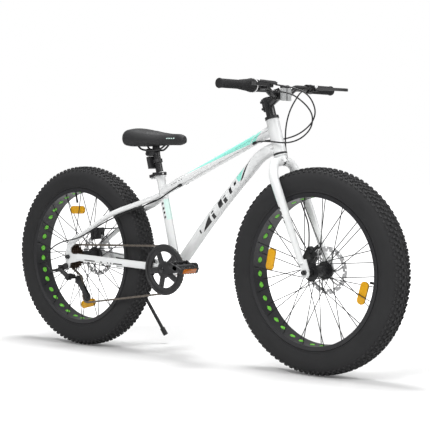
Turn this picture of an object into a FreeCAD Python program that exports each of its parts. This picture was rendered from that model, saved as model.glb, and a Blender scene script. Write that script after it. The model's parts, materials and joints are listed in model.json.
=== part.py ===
"""A fat tyre bicycle for a young rider, as an assembly of separate pieces.

Frame of the part: +X forward, +Y to the rider's left, +Z up, millimetres.
The origin is on the ground, midway between the two axles.
"""
import FreeCAD
import Part
import Sketcher
import math
import os
from types import SimpleNamespace

V = FreeCAD.Vector
LEFT = V(0, 1, 0)
RIGHT = V(0, -1, 0)
UP = V(0, 0, 1)

# Driving dimensions, in millimetres, degrees and counts
SIZES = {
    # wheels
    "wheelbase": 1110,
    "tyre_radius": 345,
    "tyre_width": 97,
    "tread_width": 74,
    "tread_drop": 9,
    "casing_wall": 5,
    "tube_gap": 0.3,
    "tube_wall": 2,
    "rim_radius": 260,
    "rim_width": 77,
    "rim_wall": 3,
    "rim_depth": 14,
    "rim_hole_radius": 11,
    "rim_hole_count": 36,
    "valve_radius": 3,
    "valve_length": 40,
    "spoke_radius": 1.1,
    "spoke_count": 36,
    "spoke_gap": 0.9,
    "spoke_rim_offset": 22,
    "flange_radius": 31,
    "flange_wall": 3.4,
    "hub_shell_radius": 18,
    "hub_end_radius": 15,
    "axle_radius": 5,
    "cone_radius": 9,
    "bearing_clearance": 0.05,
    "front_flange_half_spacing": 38,
    "rear_left_flange": 46,
    "rear_right_flange": 40,
    "front_hub_width": 135,
    "rear_hub_width": 170,
    "hub_end_gap": 5,
    "nut_radius": 9,
    "nut_length": 9,
    "axle_stub": 7,
    "rotor_radius": 80,
    "rotor_thickness": 2,
    "rotor_window_radius": 15,
    "rotor_window_circle": 44,
    "rotor_window_count": 6,
    "front_rotor_place": 52,
    "rear_rotor_place": 67,
    "reflector_length": 78,
    "reflector_height": 31,
    "reflector_thickness": 8,
    # frame
    "chainstay_reach": 480,
    "crank_height": 320,
    "tube_thickness": 2,
    "head_angle": 73.5,
    "fork_rake": 42,
    "fork_length": 420,
    "head_tube_length": 118,
    "head_tube_radius": 22,
    "seat_angle": 76,
    "seat_tube_length": 355,
    "seat_tube_radius": 16.5,
    "top_tube_radius": 18,
    "top_tube_seat_drop": 70,
    "top_tube_drop": 32,
    "down_tube_radius": 21,
    "shell_radius": 22,
    "shell_width": 100,
    "chainstay_height": 27,
    "chainstay_width": 16,
    "seatstay_radius": 9.5,
    "dropout_thickness": 6,
    # bearings and seat
    "cup_height": 11,
    "cup_lip": 2,
    "steerer_radius": 14.3,
    "spindle_radius": 10,
    "post_radius": 13.6,
    "post_length": 200,
    "post_showing": 81,
    "post_clearance": 0.05,
    "collar_radius": 21,
    "collar_height": 15,
    "lever_gap": 0.3,
    # saddle
    "saddle_back": 125,
    "saddle_front": 149,
    "saddle_width": 156,
    "nose_width": 42,
    "saddle_rise": 85,
    "rail_radius": 3.5,
    "rail_spacing": 44,
    "rail_rise": 15,
    # cockpit
    "stem_radius": 17,
    "stem_height": 62,
    "stem_reach": 53,
    "stem_rise": 13.5,
    "bar_radius": 11.1,
    "bar_clamp_radius": 12.7,
    "clamp_outer_radius": 18,
    "clamp_width": 46,
    "bar_half_width": 304,
    "bar_rise": 26,
    "bar_sweep": 8,
    "grip_radius": 15,
    "grip_end": 2,
    "left_grip_length": 134,
    "right_grip_length": 106,
    "twist_length": 56,
    "twist_radius": 21,
    "shifter_length": 22,
    "perch_width": 20,
    "perch_radius": 16,
    "lever_length": 132,
    "lever_thickness": 10,
    "lever_pivot_forward": 34,
    "pivot_pin_radius": 3,
    # drive train
    "chain_plane": 63,
    "chain_pitch": 12.7,
    "chain_width": 7.2,
    "chain_height": 8,
    "chain_web": 2,
    "chain_channel": 3.4,
    "ring_teeth": 42,
    "ring_thickness": 2,
    "guard_radius": 92,
    "guard_inner_radius": 66,
    "guard_thickness": 3,
    "guard_spoke_width": 18,
    "guard_spoke_count": 5,
    "guard_turn": 42,
    "crank_length": 152,
    "crank_turn": 7.5,
    "crank_arm_thickness": 13,
    "crank_boss_radius": 17,
    "crank_tip_radius": 14,
    "pedal_spindle_radius": 6,
    "pedal_length": 62,
    "pedal_width": 96,
    "pedal_height": 26,
    "pedal_tilt": 22,
    "cog_step": 4.6,
    "cog_largest": 24,
    "cog_smallest": 14,
    "cog_in_use": 22,
    "cog_thickness": 2,
    "pulley_teeth": 11,
    "pulley_thickness": 3,
    "cage_wall": 1.6,
    "cage_gap": 4.6,
    # brakes and stand
    "caliper_radial": 44,
    "caliper_length": 52,
    "caliper_inner": 10,
    "caliper_outer": 16,
    "caliper_slot": 5,
    "arm_length": 34,
    "arm_thickness": 4,
    "cable_radius": 2.5,
    "stand_radius": 6.5,
    "stand_pivot_radius": 6,
    "stand_eye_length": 17,
    "running_gap": 0.3,
    "rim_hole_stagger": 0.5,
    "rotor_boss_radius": 24,
    "cone_length": 25,
    "eyelet_radius": 2.5,
    "crown_hole_radius": 3,
    "fork_top_radius": 15.5,
    "fork_tip_radius": 10.5,
    "ear_wall": 4,
    "arm_pin_radius": 4,
    "guard_hub_radius": 25,
    "cage_pin_radius": 4,
    "link_plane": 103,
    "link_height": 14,
    "hanger_bolt_radius": 5,
}


class Size(float):
    """A number that remembers the sheet expression it comes from."""

    def __new__(cls, number, text):
        made = super().__new__(cls, number)
        made.text = text
        return made

    def __add__(self, other):
        return Size(float(self) + float(other), f"({self.text} + {words(other)})")

    def __radd__(self, other):
        return Size(float(other) + float(self), f"({words(other)} + {self.text})")

    def __sub__(self, other):
        return Size(float(self) - float(other), f"({self.text} - {words(other)})")

    def __rsub__(self, other):
        return Size(float(other) - float(self), f"({words(other)} - {self.text})")

    def __mul__(self, other):
        return Size(float(self) * float(other), f"({self.text} * {words(other)})")

    def __rmul__(self, other):
        return self * other

    def __truediv__(self, other):
        return Size(float(self) / float(other), f"({self.text} / {words(other)})")

    def __neg__(self):
        return Size(-float(self), f"(-1 * {self.text})")


def words(number):
    """The expression text of a size or a plain number."""
    return number.text if isinstance(number, Size) else f"{float(number):.9g}"


doc = FreeCAD.newDocument("fat_tyre_bike")
sheet = doc.addObject("Spreadsheet::Sheet", "sizes")
for row, (alias, number) in enumerate(SIZES.items(), 1):
    sheet.set(f"A{row}", alias)
    sheet.set(f"B{row}", str(number))
    sheet.setAlias(f"B{row}", alias)
doc.recompute()
d = SimpleNamespace(**{alias: Size(sheet.get(alias), f"sizes.{alias}") for alias in SIZES})
pieces = []


def bind(item, name, size):
    """Set a property from a size, as an expression where it has one."""
    if isinstance(size, Size):
        item.setExpression(name, size.text)
    else:
        setattr(item, name, size)


def along(start, direction):
    """A placement at start whose own Z axis points along direction."""
    return FreeCAD.Placement(start, FreeCAD.Rotation(UP, V(direction)))


def cylinder(name, radius, length, start, direction):
    item = doc.addObject("Part::Cylinder", name)
    bind(item, "Radius", radius)
    bind(item, "Height", length)
    item.Placement = along(start, direction)
    return item


def rod(name, radius, start, end):
    """A cylinder from one point to another."""
    return cylinder(name, radius, (end - start).Length, start, end - start)


def cone(name, first_radius, last_radius, start, end):
    item = doc.addObject("Part::Cone", name)
    bind(item, "Radius1", first_radius)
    bind(item, "Radius2", last_radius)
    item.Height = (end - start).Length
    item.Placement = along(start, end - start)
    return item


def block(name, length, width, height, placement):
    """A box centred on its placement."""
    item = doc.addObject("Part::Box", name)
    bind(item, "Length", length)
    bind(item, "Width", width)
    bind(item, "Height", height)
    shift = V(-float(length) / 2, -float(width) / 2, -float(height) / 2)
    item.Placement = placement.multiply(FreeCAD.Placement(shift, FreeCAD.Rotation()))
    return item


def cut(name, base, *tools):
    """The base with every tool taken out of it."""
    for done, tool in enumerate(tools, 1):
        item = doc.addObject("Part::Cut", name if done == len(tools) else f"{name}_step")
        item.Base = base
        item.Tool = tool
        base = item
    return base


def fuse(name, *parts):
    item = doc.addObject("Part::MultiFuse", name)
    item.Shapes = list(parts)
    return item


def group(name, parts):
    item = doc.addObject("Part::Compound", name)
    item.Links = list(parts)
    return item


def feature(name, shape):
    item = doc.addObject("Part::Feature", name)
    item.Shape = shape
    return item


def piece(label, item):
    """Name a finished sub-part and keep it for writing out."""
    item.Label = label
    pieces.append(item)
    return item


def drawn(body, role, loops):
    """A sketch of closed straight-sided loops, each corner tied to its sizes."""
    sketch = body.newObject("Sketcher::SketchObject", "profile")
    plane = [item for item in body.Origin.OriginFeatures if item.Role == role][0]
    sketch.AttachmentSupport = (plane, "")
    sketch.MapMode = "FlatFace"
    for loop in loops:
        first = sketch.GeometryCount
        count = len(loop)
        corners = [V(u, v, 0) for u, v in loop]
        for index in range(count):
            sketch.addGeometry(Part.LineSegment(corners[index], corners[(index + 1) % count]))
        for index in range(count):
            here = first + index
            following = first + (index + 1) % count
            sketch.addConstraint(Sketcher.Constraint("Coincident", here, 2, following, 1))
        for index, (u, v) in enumerate(loop):
            tie(sketch, "DistanceX", first + index, u, -2)
            tie(sketch, "DistanceY", first + index, v, -1)
    return sketch


def tie(sketch, kind, line, size, axis):
    """Hold the start of a line at a distance from the sketch's origin."""
    if abs(float(size)) < 1e-9:
        sketch.addConstraint(Sketcher.Constraint("PointOnObject", line, 1, axis))
        return
    index = sketch.addConstraint(Sketcher.Constraint(kind, -1, 1, line, 1, float(size)))
    if isinstance(size, Size):
        sketch.setExpression(f"Constraints[{index}]", size.text)


def turned(name, loops, start, direction):
    """A body turned about an axis, from loops of (radius, distance along the axis)."""
    body = doc.addObject("PartDesign::Body", name)
    sketch = drawn(body, "XZ_Plane", loops)
    turn = body.newObject("PartDesign::Revolution", "turn")
    turn.Profile = sketch
    turn.ReferenceAxis = (sketch, ["V_Axis"])
    turn.Angle = 360
    body.Placement = along(start, direction)
    return body


def extruded(name, loops, thickness, placement):
    """A flat plate of the given outline, padded along the placement's Z axis."""
    body = doc.addObject("PartDesign::Body", name)
    pad = body.newObject("PartDesign::Pad", "plate")
    pad.Profile = drawn(body, "XY_Plane", loops)
    bind(pad, "Length", thickness)
    body.Placement = placement
    return body


def side_view(origin, turn=0):
    """A placement whose X is forward, Y is up and Z points right, turned about that Z."""
    flat = FreeCAD.Rotation(V(1, 0, 0), UP, RIGHT, "ZXY")
    return FreeCAD.Placement(origin, flat.multiply(FreeCAD.Rotation(UP, turn)))


def route(points):
    """A wire of straight runs and tangent arcs through the corners given."""
    edges = []
    leave = points[0]
    for before, corner, after in zip(points, points[1:], points[2:]):
        back = (before - corner).normalize()
        on = (after - corner).normalize()
        turn = math.pi - back.getAngle(on)
        reach = 0.45 * min((before - corner).Length, (after - corner).Length)
        radius = reach / math.tan(turn / 2)
        inward = (back + on).normalize()
        start = corner + back * reach
        end = corner + on * reach
        middle = corner + inward * (radius / math.cos(turn / 2) - radius)
        edges.append(Part.LineSegment(leave, start).toShape())
        edges.append(Part.Arc(start, middle, end).toShape())
        leave = end
    edges.append(Part.LineSegment(leave, points[-1]).toShape())
    return Part.Wire(edges)


def pipe_shape(points, radius):
    """A solid round bar along a route."""
    path = route(points)
    start = Part.Circle(points[0], points[1] - points[0], float(radius))
    return path.makePipeShell([Part.Wire(start.toShape())], True, False)


def pipe(name, points, radius):
    return feature(name, pipe_shape(points, radius))


def around(centre, radius, degrees, place):
    """A point on a circle about a crosswise axis, from +X towards +Z."""
    angle = math.radians(degrees)
    return V(centre.x + radius * math.cos(angle), place, centre.z + radius * math.sin(angle))


# Reference points and directions
rear_axle_at = V(-d.wheelbase / 2, 0, d.tyre_radius)
front_axle_at = V(d.wheelbase / 2, 0, d.tyre_radius)
crank_at = V(rear_axle_at.x + d.chainstay_reach, 0, d.crank_height)
steer_up = V(-math.cos(math.radians(d.head_angle)), 0, math.sin(math.radians(d.head_angle)))
steer_fore = V(steer_up.z, 0, -steer_up.x)
steer_foot = front_axle_at - steer_fore * d.fork_rake
seat_up = V(-math.cos(math.radians(d.seat_angle)), 0, math.sin(math.radians(d.seat_angle)))
seat_fore = V(seat_up.z, 0, -seat_up.x)


def on_steerer(height, forward=0, side=0):
    return steer_foot + steer_up * height + steer_fore * forward + V(0, side, 0)


def on_seat_tube(height, forward=0, side=0):
    return crank_at + seat_up * height + seat_fore * forward + V(0, side, 0)


def flip(point):
    """The same point on the other side of the middle plane."""
    return V(point.x, -point.y, point.z)


# Wheels
def tyre_section(inset):
    """Half of the casing's outline, from the bead out to the tread, drawn in by an inset."""
    half = d.tyre_width / 2 - inset
    bead = d.rim_width / 2 - d.rim_wall - inset
    base = d.rim_radius - d.rim_depth + d.rim_wall
    crown = d.tyre_radius - inset
    edge = d.tread_width / 2
    return SimpleNamespace(half=half, bead=bead, base=base, crown=crown, edge=edge,
                           shoulder=crown - d.tread_drop, middle=(d.rim_radius + crown) / 2)


def casing_face(inset, floor):
    """The closed cross-section of a tyre shape in the X and Y plane, open below the floor."""
    s = tyre_section(inset)
    knee = V(d.rim_radius + 4, s.bead - d.tube_gap, 0)
    belly = V(s.middle - 8, s.half, 0)
    edge = V(s.shoulder, s.edge - inset / 2, 0)
    top = V(s.crown, 0, 0)
    low = V(floor, s.bead - d.tube_gap, 0)
    lean = (edge - belly).normalize()
    side = (belly + edge) * 0.5 + V(lean.y, -lean.x, 0) * -2.5
    flat = V(s.crown - 1, s.edge * 0.5, 0)
    edges = [Part.LineSegment(low, knee).toShape(),
             Part.Arc(knee, V((knee.x + belly.x) / 2, (knee.y + belly.y) / 2 + 3, 0), belly).toShape(),
             Part.Arc(belly, side, edge).toShape(),
             Part.Arc(edge, V((edge.x + flat.x) / 2 + 1.5, (edge.y + flat.y) / 2, 0), flat).toShape(),
             Part.Arc(flat, top, flip(flat)).toShape(),
             Part.Arc(flip(flat), V((edge.x + flat.x) / 2 + 1.5, -(edge.y + flat.y) / 2, 0),
                      flip(edge)).toShape(),
             Part.Arc(flip(edge), flip(side), flip(belly)).toShape(),
             Part.Arc(flip(belly), V((knee.x + belly.x) / 2, -(knee.y + belly.y) / 2 - 3, 0),
                      flip(knee)).toShape(),
             Part.LineSegment(flip(knee), flip(low)).toShape(),
             Part.LineSegment(flip(low), low).toShape()]
    return Part.Face(Part.Wire(edges))


def ring_about_axle(face, axle):
    """A section in the X and Y plane swept round a wheel's axle."""
    shape = face.revolve(V(0, 0, 0), LEFT, 360)
    shape.translate(axle)
    return shape


def wheel_rubber(name, axle):
    """The hollow tyre casing, and the tube that fills it with its valve."""
    bed = d.rim_radius - d.rim_depth + d.rim_wall
    casing = casing_face(0, bed + d.tube_gap)
    hollow = casing_face(d.casing_wall, bed)
    piece(f"{name}_tyre", feature(f"{name}_tyre", ring_about_axle(casing.cut(hollow), axle)))
    outer = casing_face(d.casing_wall + d.tube_gap, bed + d.tube_gap)
    inner = casing_face(d.casing_wall + d.tube_gap + d.tube_wall, bed + d.tube_gap + d.tube_wall)
    return ring_about_axle(outer.cut(inner), axle)


def spoke_ends(axle, phase, left_flange, right_flange):
    """The hub and rim ends of every spoke: sides alternate, and so do leading and trailing spokes."""
    ends = []
    hole_circle = d.flange_radius - 4
    step = 360 / d.spoke_count
    stand_off = d.flange_wall / 2 + d.spoke_radius + d.spoke_gap
    for index in range(int(d.spoke_count)):
        side = 1 if index % 2 == 0 else -1
        lead = 1 if index % 4 < 2 else -1
        flange = left_flange if side > 0 else right_flange
        angle = phase + index * step
        hub = around(axle, hole_circle, angle + lead * 50, side * (flange + lead * stand_off))
        rim = around(axle, d.rim_radius - d.rim_depth - d.running_gap, angle, side * d.spoke_rim_offset)
        ends.append((hub, rim))
    return ends


def wheel(name, axle, width, left_flange, right_flange, rotor_place, phase, reflectors, valve_angle):
    """One whole wheel: tyre, tube, rim, spokes, hub, brake rotor and reflectors."""
    bed = d.rim_radius - d.rim_depth
    half = d.rim_width / 2
    seat = bed + d.rim_wall
    rim_loop = [(bed, -half), (d.rim_radius, -half), (d.rim_radius, d.rim_wall - half),
                (seat, d.rim_wall - half), (seat, half - d.rim_wall),
                (d.rim_radius, half - d.rim_wall), (d.rim_radius, half), (bed, half)]
    hoop = turned(f"{name}_hoop", [rim_loop], axle, LEFT)
    holes = []
    for index in range(int(d.rim_hole_count)):
        stagger = d.rim_hole_stagger if index % 2 else -d.rim_hole_stagger
        angle = phase + (index + 0.5) * 360 / d.rim_hole_count + stagger
        inside = around(axle, bed - 2, angle, 0)
        outside = around(axle, seat + 2, angle, 0)
        holes.append(rod(f"{name}_rim_hole", d.rim_hole_radius, inside, outside))
    valve_base = around(axle, seat, valve_angle, 0)
    valve_tip = around(axle, seat - d.valve_length, valve_angle, 0)
    valve_hole = rod(f"{name}_valve_hole", d.valve_radius, valve_base + (valve_base - axle) * 0.05, valve_tip)
    piece(f"{name}_rim", cut(f"{name}_rim", hoop, group(f"{name}_rim_holes", holes), valve_hole))

    tube = wheel_rubber(name, axle)
    valve_reach = d.valve_length + d.tube_gap + 1
    valve = Part.makeCylinder(d.valve_radius, valve_reach, valve_tip, valve_base - valve_tip)
    piece(f"{name}_inner_tube", feature(f"{name}_inner_tube", tube.fuse(valve).removeSplitter()))

    bars = [Part.makeCylinder(d.spoke_radius, (rim - hub).Length, hub, rim - hub)
            for hub, rim in spoke_ends(axle, phase, left_flange, right_flange)]
    spokes = Part.makeCompound(bars)
    piece(f"{name}_spokes", feature(f"{name}_spokes", spokes))

    bore = d.cone_radius + d.bearing_clearance
    end = width / 2 - d.hub_end_gap
    wall = d.flange_wall / 2
    boss = rotor_place - d.rotor_thickness / 2
    hub_loop = [(bore, -end), (d.hub_end_radius, -end), (d.hub_end_radius, -right_flange - wall),
                (d.flange_radius, -right_flange - wall), (d.flange_radius, wall - right_flange),
                (d.hub_shell_radius, wall - right_flange), (d.hub_shell_radius, left_flange - wall),
                (d.flange_radius, left_flange - wall), (d.flange_radius, left_flange + wall),
                (d.rotor_boss_radius, left_flange + wall), (d.rotor_boss_radius, boss),
                (d.hub_end_radius, boss), (d.hub_end_radius, end), (bore, end)]
    piece(f"{name}_hub", turned(f"{name}_hub", [hub_loop], axle, LEFT))

    disc_loop = [(d.hub_end_radius, 0), (d.rotor_radius, 0), (d.rotor_radius, d.rotor_thickness),
                 (d.hub_end_radius, d.rotor_thickness)]
    disc = turned(f"{name}_disc", [disc_loop], axle + LEFT * boss, LEFT)
    windows = []
    for index in range(int(d.rotor_window_count)):
        place = around(axle, d.rotor_window_circle, index * 360 / d.rotor_window_count, boss - 1)
        windows.append(cylinder(f"{name}_window", d.rotor_window_radius, d.rotor_thickness + 2, place, LEFT))
    piece(f"{name}_rotor", cut(f"{name}_rotor", disc, group(f"{name}_windows", windows)))

    plates = []
    for angle, inset, tilt in reflectors:
        centre = around(axle, d.rim_radius - inset, angle, 0)
        placing = side_view(centre, angle + 90 + tilt)
        plate = Part.makeBox(d.reflector_length, d.reflector_height, d.reflector_thickness,
                             V(-d.reflector_length / 2, -d.reflector_height / 2, 0))
        plate.Placement = placing
        right_spokes = Part.makeCompound(bars[1::2])
        for step in range(4):
            plate.translate(RIGHT * (plate.distToShape(right_spokes)[0] - d.running_gap))
        plates.append(plate)
    piece(f"{name}_wheel_reflectors", feature(f"{name}_wheel_reflectors", Part.makeCompound(plates)))


def axle_with_nuts(label, at, width):
    """A solid axle with its bearing cones, and a hexagon nut outside each dropout."""
    half = width / 2
    out = half + d.dropout_thickness + d.nut_length + d.axle_stub
    neck = half - d.cone_length
    loop = [(0, -out), (d.axle_radius, -out), (d.axle_radius, -half), (d.cone_radius, -half),
            (d.cone_radius, -neck), (d.axle_radius, -neck), (d.axle_radius, neck), (d.cone_radius, neck),
            (d.cone_radius, half), (d.axle_radius, half), (d.axle_radius, out), (0, out)]
    shaft = turned(f"{label}_shaft", [loop], at, LEFT)
    corners = [(d.nut_radius * math.cos(math.radians(60 * corner)),
                d.nut_radius * math.sin(math.radians(60 * corner))) for corner in range(6)]
    nuts = []
    for side in (1, -1):
        start = at + LEFT * (side * (half + d.dropout_thickness))
        hexagon = extruded(f"{label}_nut", [corners], d.nut_length, along(start, LEFT * side))
        bore = cylinder(f"{label}_thread", d.axle_radius, d.nut_length, start, LEFT * side)
        nuts.append(cut(f"{label}_nut", hexagon, bore))
    piece(label, group(label, [shaft] + nuts))


wheel("front", front_axle_at, d.front_hub_width, d.front_flange_half_spacing, d.front_flange_half_spacing,
      d.front_rotor_place, 9.5, ((170, 74, 2), (-17, 60, 0)), -7)
wheel("rear", rear_axle_at, d.rear_hub_width, d.rear_left_flange, d.rear_right_flange,
      d.rear_rotor_place, 0.4, ((98, 82, 7), (-80, 75, -4)), 103)
axle_with_nuts("front_axle", front_axle_at, d.front_hub_width)
axle_with_nuts("rear_axle", rear_axle_at, d.rear_hub_width)


# Frame
head_low = on_steerer(d.fork_length)
head_outer = cylinder("head_outer", d.head_tube_radius, d.head_tube_length, head_low, steer_up)
head_bore_radius = d.head_tube_radius - d.tube_thickness
head_bore = cylinder("head_bore", head_bore_radius, d.head_tube_length, head_low, steer_up)
shell_right = crank_at + RIGHT * (d.shell_width / 2)
shell_outer = cylinder("shell_outer", d.shell_radius, d.shell_width, shell_right, LEFT)
shell_bore = cylinder("shell_bore", d.shell_radius - d.tube_thickness, d.shell_width, shell_right, LEFT)
seat_outer = cylinder("seat_outer", d.seat_tube_radius, d.seat_tube_length, crank_at, seat_up)
seat_bore = cylinder("seat_bore", d.post_radius + d.post_clearance, d.seat_tube_length, crank_at, seat_up)
top_join = d.seat_tube_length - d.top_tube_seat_drop
top_start = on_seat_tube(top_join)
top_end = on_steerer(d.fork_length + d.head_tube_length - d.top_tube_drop)
top_outer = rod("top_outer", d.top_tube_radius, top_start, top_end)
top_bore = rod("top_bore", d.top_tube_radius - d.tube_thickness, top_start, top_end)
down_end = on_steerer(d.fork_length + 22)
down_route = [crank_at, crank_at + V(178, 0, 203), V(down_end.x - 72, 0, down_end.z - 25), down_end]
down_outer = pipe("down_outer", down_route, d.down_tube_radius)
down_bore = pipe("down_bore", down_route, d.down_tube_radius - d.tube_thickness)


def stay_point(from_rear, side, height):
    """A point on a stay, measured from the rear axle."""
    return rear_axle_at + V(from_rear, side, height)


stay_place = d.rear_hub_width / 2 + d.dropout_thickness
plain_outline = [(-17, -19), (8, -24), (60, -13), (66, 0), (60, 11), (18, 11), (9, 18), (10, 34), (52, 66),
                 (46, 80), (30, 80), (-8, 46), (-17, 14)]
hanger_outline = plain_outline[:1] + [(-24, -40), (-12, -48), (2, -40)] + plain_outline[1:]
axle_hole = cylinder("axle_hole", d.axle_radius, 2 * stay_place, rear_axle_at + RIGHT * stay_place, LEFT)
eyelet_at = rear_axle_at + V(14, -stay_place, 52)
eyelet = cylinder("eyelet", d.eyelet_radius, 2 * stay_place, eyelet_at, LEFT)
hanger_at = rear_axle_at + V(-12, -stay_place, -36)
hanger_hole = cylinder("hanger_hole", d.hanger_bolt_radius, d.dropout_thickness, hanger_at, LEFT)


def seatstay_route(side):
    """The bends of a seat stay, from the seat tube back to the dropout."""
    tip = side * (stay_place - d.dropout_thickness / 2)
    return [on_seat_tube(top_join - 9, -10, side * 10), on_seat_tube(top_join - 23, -84, side * 50),
            stay_point(211, side * 75, 169), stay_point(38, tip, 68)]


def chainstay_bar(start, end, inset):
    """An oval bar from the bottom bracket to a dropout, drawn in by an inset."""
    way = (end - start).normalize()
    tall = (UP - way * way.z).normalize()
    turn = FreeCAD.Rotation(tall, way.cross(tall), way, "ZXY")
    oval = Part.Ellipse(V(0, 0, 0), d.chainstay_height / 2 - inset, d.chainstay_width / 2 - inset)
    bar = Part.Face(Part.Wire(oval.toShape())).extrude(UP * (end - start).Length)
    bar.Placement = FreeCAD.Placement(start, turn)
    return feature("chainstay_bar", bar)


dropouts = []
chainstay_bars = []
seatstay_bars = []
for side, outline in ((1, plain_outline), (-1, hanger_outline)):
    outer_face = stay_place if side > 0 else -d.rear_hub_width / 2
    plate_at = side_view(rear_axle_at + LEFT * outer_face)
    plate = extruded("dropout_plate", [outline], d.dropout_thickness, plate_at)
    holes = [axle_hole, eyelet] + ([hanger_hole] if side < 0 else [])
    dropouts.append(cut("dropout", plate, *holes))
    tip_side = side * (stay_place - d.dropout_thickness / 2)
    chainstay_run = (crank_at + V(-8, side * 40, 2), stay_point(46, tip_side, 0))
    chainstay_bars += [chainstay_bar(*chainstay_run, 0), chainstay_bar(*chainstay_run, d.tube_thickness)]
    seatstay_bars += [pipe("seatstay_bar", seatstay_route(side), d.seatstay_radius),
                      pipe("seatstay_bore", seatstay_route(side), d.seatstay_radius - d.tube_thickness)]
chainstays = []
seatstays = []
for index, dropout in enumerate(dropouts):
    bar, bore = chainstay_bars[2 * index:2 * index + 2]
    chainstays.append(cut("chainstay", bar, bore, shell_outer, dropout))
    bar, bore = seatstay_bars[2 * index:2 * index + 2]
    other = seatstay_bars[2:3] if index == 0 else []
    seatstays.append(cut("seatstay", bar, bore, seat_outer, top_outer, dropout, *other))

head_tube = cut("head_tube", head_outer, head_bore)
shell = cut("shell", shell_outer, shell_bore)
seat_tube = cut("seat_tube", seat_outer, seat_bore, shell_outer)
top_tube = cut("top_tube", top_outer, top_bore, head_outer, seat_outer)
down_tube = cut("down_tube", down_outer, down_bore, head_outer, shell_outer, seat_outer, top_outer)
stand_pivot_at = stay_point(110, 96, -26)
foot_at = V(stand_pivot_at.x + 110, stand_pivot_at.y + 116, 40)
stand_down = (foot_at - stand_pivot_at).normalize()
stand_folded = V(-0.95, 0.27, 0.15)
stand_axis = stand_down.cross(stand_folded).normalize()
stand_plate_at = FreeCAD.Placement(stand_pivot_at + V(0, -16.5, -2), FreeCAD.Rotation())
stand_block = block("stand_block", 34, 16, 36, stand_plate_at)
stand_boss = cylinder("stand_boss", 12, 16, stand_pivot_at - stand_axis * 16, stand_axis)
stand_pin = cylinder("stand_pin", d.stand_pivot_radius, d.stand_eye_length + 1, stand_pivot_at, stand_axis)
stand_mount = cut("stand_mount", fuse("stand_blank", stand_block, stand_boss, stand_pin), chainstay_bars[0])
piece("frame", group("frame", [head_tube, top_tube, down_tube, seat_tube, shell, stand_mount]
                     + chainstays + seatstays + dropouts))

# Bearings in the frame
cup_bore = d.steerer_radius + d.bearing_clearance
cup_outer = d.head_tube_radius + d.cup_lip
inside = d.head_tube_radius - d.tube_thickness
cup_loop = [(cup_bore, 0), (cup_outer, 0), (cup_outer, d.cup_height), (inside, d.cup_height),
            (inside, d.cup_height + 12), (cup_bore, d.cup_height + 12)]
low_cup = turned("low_cup", [cup_loop], on_steerer(d.fork_length - d.cup_height), steer_up)
high_cup_at = on_steerer(d.fork_length + d.head_tube_length + d.cup_height)
high_cup = turned("high_cup", [cup_loop], high_cup_at, -steer_up)
piece("headset_cups", group("headset_cups", [low_cup, high_cup]))

bracket_bore = d.spindle_radius + d.bearing_clearance
bracket_inside = d.shell_radius - d.tube_thickness
bracket_loop = [(bracket_bore, 0), (d.shell_radius - 1, 0), (d.shell_radius - 1, 4), (bracket_inside, 4),
                (bracket_inside, 22), (bracket_bore, 22)]
bracket_cups = []
for side in (1, -1):
    start = crank_at + LEFT * (side * (d.shell_width / 2 + 4))
    bracket_cups.append(turned("bracket_cup", [bracket_loop], start, LEFT * -side))
piece("bottom_bracket_cups", group("bottom_bracket_cups", bracket_cups))

# Seat post, collar and saddle
collar_low = d.seat_tube_length - d.collar_height
collar_loop = [(d.seat_tube_radius, 0), (d.collar_radius, 0), (d.collar_radius, d.collar_height + 2),
               (d.post_radius + d.running_gap, d.collar_height + 2),
               (d.post_radius + d.running_gap, d.collar_height), (d.seat_tube_radius, d.collar_height)]
collar_ring = turned("collar_ring", [collar_loop], on_seat_tube(collar_low), seat_up)
collar_middle = collar_low + d.collar_height / 2
bolt_back = -d.collar_radius - 5
ear_at = on_seat_tube(collar_middle, bolt_back)
seat_turn = FreeCAD.Rotation(seat_fore, LEFT, seat_up, "ZXY")
collar_ears = block("collar_ears", 14, 26, d.collar_height - 3, FreeCAD.Placement(ear_at, seat_turn))
ear_trim = cylinder("ear_trim", d.seat_tube_radius, 80, on_seat_tube(collar_low - 20), seat_up)
cam_pin_at = on_seat_tube(collar_low, bolt_back, -21)
cam_pin = cylinder("cam_pin", d.pivot_pin_radius, d.collar_height, cam_pin_at, seat_up)
cam_post_at = FreeCAD.Placement(on_seat_tube(collar_low + 2, bolt_back, -17), seat_turn)
cam_post = block("cam_post", 6, 10, 4, cam_post_at)
trimmed_ears = cut("seat_ears", collar_ears, ear_trim)
piece("seat_collar", fuse("seat_collar", trimmed_ears, collar_ring, cam_post, cam_pin))

lever_low = collar_low + 4 + d.lever_gap
lever_height = d.collar_height - 4
cam_eye_at = on_seat_tube(lever_low, bolt_back, -21)
cam_eye = cylinder("cam_eye", 7, lever_height, cam_eye_at, seat_up)
lever_centre = on_seat_tube(lever_low + lever_height / 2, bolt_back + 39, -27)
lever_bar = block("seat_lever_bar", 78, 6, lever_height, FreeCAD.Placement(lever_centre, seat_turn))
eye_bore = cylinder("eye_bore", d.pivot_pin_radius + d.bearing_clearance, lever_height, cam_eye_at, seat_up)
piece("seat_lever", cut("seat_lever", fuse("seat_lever_blank", cam_eye, lever_bar), eye_bore))

post_top = d.seat_tube_length + d.post_showing
post_low = on_seat_tube(post_top - d.post_length)
post = cylinder("post_outer", d.post_radius, d.post_length, post_low, seat_up)
post_hollow = cylinder("post_hollow", d.post_radius - d.tube_thickness, d.post_length, post_low, seat_up)
piece("seat_post", cut("seat_post", post, post_hollow))

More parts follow.
